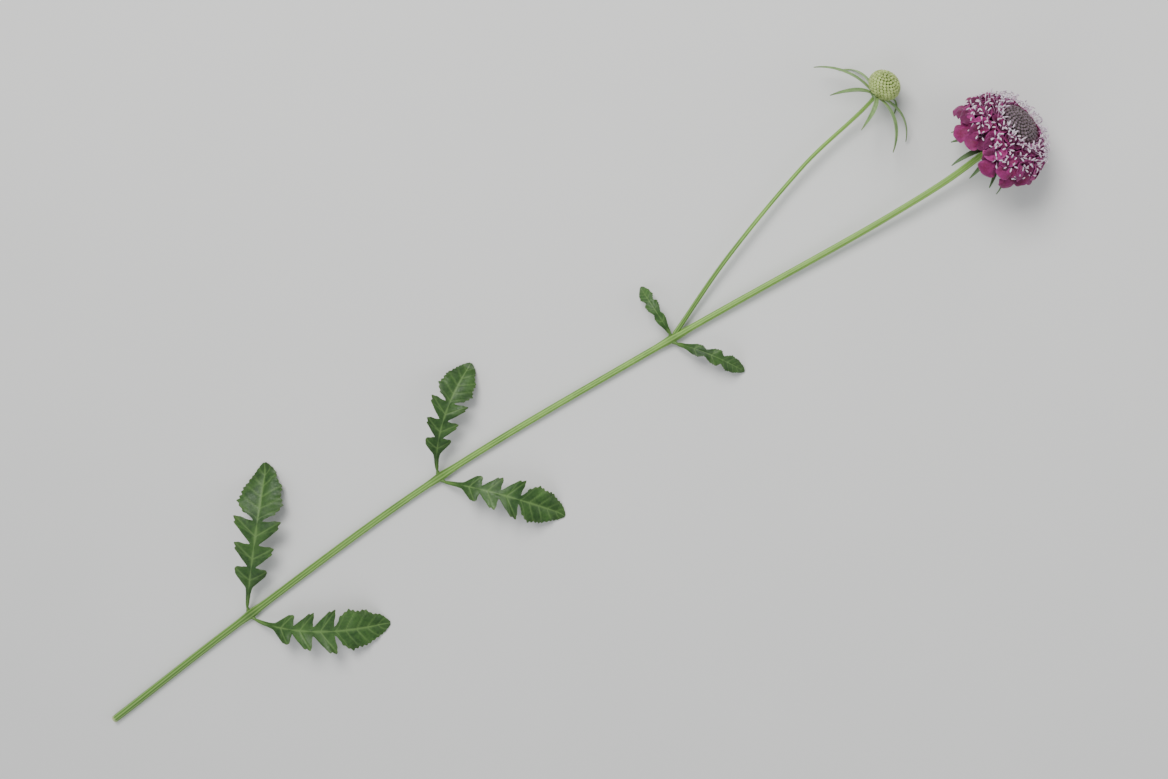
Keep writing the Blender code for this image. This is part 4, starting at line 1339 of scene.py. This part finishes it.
@dataclass
class Leaf:
    """One lobed leaf, from its clasping foot at the stem to its tip on the surface."""

    node: str
    knot: Point
    side: int
    length: float
    half_width: float
    pairs: int
    yaw: tuple[float, float]
    pitch: tuple[float, float]
    roll: tuple[float, float]
    petiole_half_width: float = 0.0013
    lobes_from: float = 0.17
    lobes_to: float = 0.60
    lobe_sweep: float = 0.65
    gap: float = 0.0003
    solid_thickness: float = 0.0007
    thickness: float = 0.00040
    softening: float = 0.022
    teeth: int = 34
    sheath_radii: tuple[float, float] = (0.0017, 0.0004)
    sheath_clearance: float = 0.0009
    rows: int = 150
    columns: int = 21

    @property
    def pitch_of_lobes(self) -> float:
        """How far apart the pairs of lobes stand along the midrib, as a share of it."""
        return (self.lobes_to - self.lobes_from) / self.pairs

    def keys(self) -> Array:
        """The form's key places along the midrib.

        Returns:
            For each, its place, the half width there and how far the edge runs ahead.
        """
        narrow = self.petiole_half_width
        found = [(0.0, narrow * 0.4, 0.0), (0.05, narrow * 0.85, 0.0), (0.13, narrow, 0.0)]
        pitch = self.pitch_of_lobes
        rachis = narrow * 1.5
        for pair in range(self.pairs):
            start = self.lobes_from + pair * pitch
            reach = self.half_width * mix(0.50, 0.92, (pair + 1) / self.pairs)
            found.append((start, rachis, self.lobe_sweep))
            found.append((start + 0.30 * pitch, reach * 0.92, self.lobe_sweep))
            found.append((start + 0.62 * pitch, reach, self.lobe_sweep))
        found.append((self.lobes_to, rachis * 1.1, self.lobe_sweep))
        blade = (
            (0.65, 0.60), (0.71, 0.92), (0.76, 0.80), (0.82, 0.78),
            (0.87, 0.56), (0.93, 0.42), (1.0, 0.07),
        )
        found += [(t, self.half_width * width, 0.10) for t, width in blade]
        return np.array(found)

    def heading(self, t: Array) -> Array:
        """The way that the midrib runs.

        Args:
            t: places along it.

        Returns:
            The direction at each.
        """
        yaw = np.radians(mix(*self.yaw, t)) * self.side
        pitch = np.radians(mix(*self.pitch, t))
        return np.stack([np.cos(yaw) * np.cos(pitch), np.sin(yaw) * np.cos(pitch), np.sin(pitch)], axis=-1)

    def foot(self, stem: RibbedStem) -> Array:
        """Where the leaf starts.

        Args:
            stem: the stem that it clasps.

        Returns:
            The point that its solid starts from.
        """
        radius = float(stem.radius(np.array(self.knot[0])))
        slant = abs(self.heading(np.array(0.0))[0])
        clear = radius * 1.05 + self.gap + self.petiole_half_width * slant + 0.0004
        return np.array(self.knot) + np.array((0.0, clear * self.side, 0.0008))

    def veins(self, t: Array, u: Array) -> Array:
        """Where the midrib and the side veins run.

        Args:
            t: places along the leaf.
            u: places across it.

        Returns:
            1 on a vein, falling to 0 beside it.
        """
        away = np.abs(u)
        found = np.exp(-((u / 0.07) ** 2))
        pitch = self.pitch_of_lobes
        for pair in range(self.pairs):
            at = self.lobes_from + (pair + 0.46) * pitch
            run = t - at - 0.02 * away
            found = np.maximum(found, np.exp(-((run / 0.006) ** 2)) * (1 - 0.5 * away))
            for branch in (-0.10, 0.12):
                run = t - at - branch * pitch * 2 * (away - 0.25)
                twig = np.exp(-((run / 0.004) ** 2)) * (away > 0.25)
                found = np.maximum(found, 0.6 * twig * (1 - 0.6 * away))
        for at in (0.62, 0.69, 0.76, 0.83, 0.90):
            run = t - at - 0.07 * away
            found = np.maximum(found, 0.8 * np.exp(-((run / 0.006) ** 2)) * (1 - 0.6 * away))
        petiole = np.exp(-((u / 0.25) ** 2)) * (1 - smooth((t - 0.10) / 0.06))
        return found * smooth((t - 0.12) / 0.06) + petiole

    def spine(self, stem: RibbedStem, t: Array) -> tuple[Array, Array, Array]:
        """Where the midrib lies, and how the blade is turned about it.

        Args:
            stem: the stem that the leaf clasps.
            t: places along the midrib.

        Returns:
            For each place, its point, the way along the midrib and the way across the blade.
        """
        headings = self.heading(t)
        steps = np.diff(t)[:, None] * self.length * self.heading((t[1:] + t[:-1]) / 2)
        spots = self.foot(stem) + np.concatenate([np.zeros((1, 3)), np.cumsum(steps, axis=0)])
        lean = np.radians(mix(*self.roll, t)) * self.side
        level = unit(np.cross(UP, headings))
        across = level * np.cos(lean)[:, None] + np.cross(headings, level) * np.sin(lean)[:, None]
        return spots, headings, across

    def lift(self, rows: Array, u: Array, width: Array, veins: Array) -> Array:
        """How far the blade rises from its plane, by its fold, its quilting and its rippled edge.

        Args:
            rows: places along the leaf.
            u: places across it.
            width: the half width there.
            veins: 1 on a vein.

        Returns:
            The height at each place.
        """
        away = np.abs(u)
        fold = 0.20 * away - 0.16 * u * u + 0.10 * np.sin(9 * rows + 2.2 * u) * away
        quilt = 0.035 * np.sin(rows * 52) * away * smooth((rows - 0.2) / 0.1)
        quilt = quilt - 0.035 * veins * (width > 0.003)
        ripple = 0.05 * np.sin(rows * 70 + 3 * self.side) * away**4
        return (fold + quilt + ripple) * width

    def blade(self, stem: RibbedStem) -> tuple[Array, Array, Array]:
        """The form of the blade.

        Args:
            stem: the stem that the leaf clasps.

        Returns:
            The middle of the blade as rows by columns by x, y, z, its thickness and its four masks.
        """
        places, widths, sweeps = self.keys().T
        t = np.unique(np.concatenate([np.linspace(0, 1, self.rows), places]))
        wide = rounded(t, places, widths, self.softening)
        ahead = rounded(t, places, sweeps, self.softening)
        teeth = 1 + 0.045 * np.sin(t * 2 * math.pi * self.teeth) * smooth((t - 0.2) / 0.1)
        spots, headings, across = self.spine(stem, t)
        facing = np.cross(headings, across)
        u, rows = np.meshgrid(np.linspace(-1, 1, self.columns), t)
        away = np.abs(u)
        width = (wide * teeth)[:, None] * np.ones_like(u)
        veins = self.veins(rows, u)
        grid = spots[:, None] + across[:, None] * (u * width)[..., None]
        grid = grid + headings[:, None] * (away * ahead[:, None] * width)[..., None]
        grid = grid + facing[:, None] * self.lift(rows, u, width, veins)[..., None]
        thick = self.thickness + 0.0011 * np.exp(-((u * width / 0.0007) ** 2)) * (1 - rows) ** 0.7
        solid = self.solid_thickness + 0.0009 * (1 - away) ** 2 * (1 - rows)
        grid = laid(grid, np.minimum(solid, thick) / 2)
        edge = smooth((away - 0.86) / 0.14) * smooth((rows - 0.15) / 0.1)
        tone = 0.35 * np.sin(rows * 26 + u * 2) * away + 0.3 * wobble(self.half_width * 1000, 60)
        return grid, thick, masks_of(u.shape, rows, edge, veins, tone)

    def build(self, stem: RibbedStem) -> None:
        """Builds the leaf as one piece, with its foot run in to the stem.

        Args:
            stem: the stem that it clasps.
        """
        mould = Mould()
        grid, thick, masks = self.blade(stem)
        mould.sheet(grid, thick, masks, 0.45)
        self.sheath(mould, grid[0, self.columns // 2], self.heading(np.array(0.0)))
        mould.fringe(grid, np.arange(12, len(grid) - 2, 3), 0.0, np.array((0.5, 1.0, 0.2, 0.8)))
        mould.make(self.node + "_blade", LEAF, self.node, "leaf_green")

    def sheath(self, mould: Mould, foot: Array, heading: Array) -> None:
        """Adds the widened foot that clasps the stem.

        Args:
            mould: the skin that it goes in.
            foot: where the blade starts.
            heading: the way that it starts in.
        """
        t = np.linspace(0, 1, 8)[:, None]
        inside = np.array(self.knot) + np.array((-0.0015, 0.0, 0.0004))
        pull = foot - heading * 0.0022
        curve = laid(arched(inside, pull, foot + heading * 0.0035, t), self.sheath_clearance)
        radii = mix(*self.sheath_radii, smooth(t[:, 0]))
        masks = masks_of((8,), mix(0.0, 0.05, t[:, 0]), 0, 0.5, 0.1)
        mould.tube(curve, np.repeat(radii[:, None], 14, axis=1), masks, 0.00005)


@dataclass(frozen=True)
class Lamp:
    """A soft square light that faces the stem: its place, the length of its sides and its watts."""

    name: str
    place: Point
    size: float
    power: float
    colour: Colour

    def build(self) -> None:
        """Adds the light."""
        data = bpy.data.lights.new(self.name, "AREA")
        data.size = self.size
        data.energy = self.power
        data.color = self.colour
        made = bpy.data.objects.new(self.name, data)
        made.location = self.place
        made.rotation_mode = "QUATERNION"
        made.rotation_quaternion = (-Vector(self.place)).to_track_quat("-Z", "Y")
        bpy.context.scene.collection.objects.link(made)


@dataclass
class Studio:
    """The pale surface, the soft lights and the camera that looks down on the stem."""

    lamps: tuple[Lamp, ...] = (
        Lamp("key", place=(0.35, 0.75, 1.15), size=0.7, power=22.0, colour=(1.0, 0.985, 0.96)),
        Lamp("fill", place=(-0.9, -0.5, 1.1), size=1.3, power=6.0, colour=(0.95, 0.975, 1.0)),
        Lamp("rim", place=(1.0, -0.7, 0.7), size=0.8, power=5.0, colour=(1.0, 1.0, 1.0)),
    )
    room_colour: Colour = (0.86, 0.88, 0.90)
    room_light: float = 0.46
    surface_reach: float = 4.0
    surface_drop: float = 0.0002
    surface_colours: tuple[Colour, Colour] = ((0.640, 0.645, 0.640), (0.680, 0.682, 0.676))
    target: Point = (0.045, -0.008, 0.005)
    azimuth: float = math.radians(2)
    elevation: float = math.radians(75)
    lean: float = math.radians(33)
    distance: float = 0.85
    lens: float = 47.0

    def camera(self) -> None:
        """Places the camera, turned so that the stem rises from lower left to upper right."""
        back = np.array((
            math.cos(self.elevation) * math.cos(self.azimuth),
            math.cos(self.elevation) * math.sin(self.azimuth),
            math.sin(self.elevation),
        ))
        stem = np.array((1.0, 0.0, 0.0))
        stem = unit(stem - back * stem.dot(back))
        beside = np.cross(back, stem)
        right = stem * math.cos(self.lean) - beside * math.sin(self.lean)
        above = stem * math.sin(self.lean) + beside * math.cos(self.lean)
        data = bpy.data.cameras.new("camera")
        data.lens = self.lens
        data.sensor_width = 36.0
        data.clip_start, data.clip_end = 0.01, 20.0
        made = bpy.data.objects.new("camera", data)
        pose = Matrix([Vector(right), Vector(above), Vector(back)]).transposed().to_4x4()
        made.matrix_world = Matrix.Translation(Vector(self.target) + Vector(back) * self.distance) @ pose
        bpy.context.scene.collection.objects.link(made)
        bpy.context.scene.camera = made

    def surface(self) -> None:
        """Lays the plain pale surface."""
        mesh = bpy.data.meshes.new("surface")
        reach, height = self.surface_reach, -self.surface_drop
        corners = [(x * reach, y * reach, height) for x, y in ((-1, -1), (1, -1), (1, 1), (-1, 1))]
        mesh.from_pydata(corners, [], [(0, 1, 2, 3)])
        made = bpy.data.objects.new("surface", mesh)
        bpy.context.scene.collection.objects.link(made)
        finish = bpy.data.materials.new("surface_pale")
        finish.use_nodes = True
        wires = Wiring(finish.node_tree)
        where = wires.node("TexCoord").outputs["Object"]
        grain = wires.node("TexNoise", {"Vector": where, "Scale": 9.0, "Detail": 3.0})
        colour = wires.blend(grain.outputs["Fac"], *self.surface_colours)
        shader = finish.node_tree.nodes["Principled BSDF"]
        wires.tree.links.new(colour, shader.inputs["Base Color"])
        shader.inputs["Roughness"].default_value = 0.8
        mesh.materials.append(finish)

    def build(self) -> None:
        """Sets up the surface, the lights and the camera."""
        self.surface()
        for lamp in self.lamps:
            lamp.build()
        world = bpy.data.worlds.new("soft room")
        world.use_nodes = True
        background = world.node_tree.nodes["Background"]
        background.inputs["Color"].default_value = (*self.room_colour, 1.0)
        background.inputs["Strength"].default_value = self.room_light
        bpy.context.scene.world = world
        self.camera()


@dataclass
class Scabiosa:
    """The whole cut stem."""

    stem: RibbedStem = field(default_factory=lambda: RibbedStem(
        piece="stem_ribbed", node="stem", knots=STEM_KNOTS, place=HEAD_FRAME, top=-0.0020, pull=0.075,
        ribs=8, foot_radius=0.0022, neck_radius=0.0016, swellings=STEM_KNOTS[1:4], cut_foot=True,
    ))
    shoot: RibbedStem = field(default_factory=lambda: RibbedStem(
        piece="side_shoot_ribbed", node="side_shoot", knots=SHOOT_KNOTS, place=BUD_FRAME, top=-0.0014,
        pull=0.05, ribs=6, foot_radius=0.0013, neck_radius=0.0010, sides=36, rings_per_stretch=40,
        hairs=500, hair_length=0.0005,
    ))
    bloom: Bloom = field(default_factory=Bloom)
    button: ClosedFlorets = field(default_factory=lambda: ClosedFlorets(
        crown=Crown.BUTTON, place=HEAD_FRAME, count=150, knob_radius=0.00094,
        bristle_length=0.0018, bristles_each=2, piece="centre_closed_florets",
        bristle_piece="centre_bristles", node="centre_buds", slot="centre",
        finish=CENTRE, bristle_finish=BRISTLE,
    ))
    bud: ClosedFlorets = field(default_factory=lambda: ClosedFlorets(
        crown=Crown.BALL, place=BUD_FRAME, count=230, knob_radius=0.00098,
        bristle_length=0.0010, bristles_each=2, piece="bud_closed_florets",
        bristle_piece="bud_bristles", node="bud", slot="bud_green",
        finish=BUD, bristle_finish=BUD_BRISTLE,
    ))
    involucre: BractRing = field(default_factory=lambda: BractRing(
        place=HEAD_FRAME, piece="involucre_bracts", node="involucre", disc=(
            (0.0006, -0.0031), (0.0019, -0.0030), (0.0032, -0.0023),
            (0.0046, -0.0008), (0.0049, 0.0), (0.0040, 0.0008),
        ), count=11, length=0.0205, half_width=0.0014, root=0.0034, start=-0.0012,
        under_head=True, finish=BRACT,
    ))
    bud_ring: BractRing = field(default_factory=lambda: BractRing(
        place=BUD_FRAME, piece="bud_arching_bracts", node="bud_bracts", disc=(
            (0.0005, -0.0025), (0.0013, -0.0024), (0.0027, -0.0016),
            (0.0043, 0.0002), (0.0041, 0.0010), (0.0024, 0.0015),
        ), count=8, length=0.0300, half_width=0.0013, root=0.0028, start=-0.0004,
        under_head=False, finish=YOUNG_BRACT, salt=5,
    ))
    leaves: tuple[Leaf, ...] = (
        Leaf("leaf_lower_left", STEM_KNOTS[1], 1, 0.098, 0.0150, 3, (34, 62), (34, -44), (30, -8)),
        Leaf("leaf_lower_right", STEM_KNOTS[1], -1, 0.090, 0.0140, 3, (40, 24), (30, -38), (26, -12)),
        Leaf("leaf_middle_left", STEM_KNOTS[2], 1, 0.074, 0.0115, 3, (46, 30), (42, -52), (34, -6)),
        Leaf("leaf_middle_right", STEM_KNOTS[2], -1, 0.080, 0.0120, 3, (30, 66), (36, -46), (28, 4)),
        Leaf("leaf_upper_left", STEM_KNOTS[3], 1, 0.036, 0.0042, 2, (78, 104), (52, -64), (30, 0)),
        Leaf("leaf_upper_right", STEM_KNOTS[3], -1, 0.046, 0.0050, 2, (38, 74), (44, -56), (30, 10)),
    )

    def build(self) -> None:
        """Builds every piece, from the cut end to the bloom."""
        self.stem.build()
        self.shoot.build()
        for leaf in self.leaves:
            leaf.build(self.stem)
        self.bud_ring.build()
        self.bud.build()
        self.involucre.build()
        self.bloom.build()
        self.button.build()


def main() -> None:
    """Builds the part and the studio round it."""
    logging.basicConfig(level=logging.INFO, format="%(name)s: %(message)s")
    Scabiosa().build()
    Studio().build()


if __name__ == "__main__":
    main()
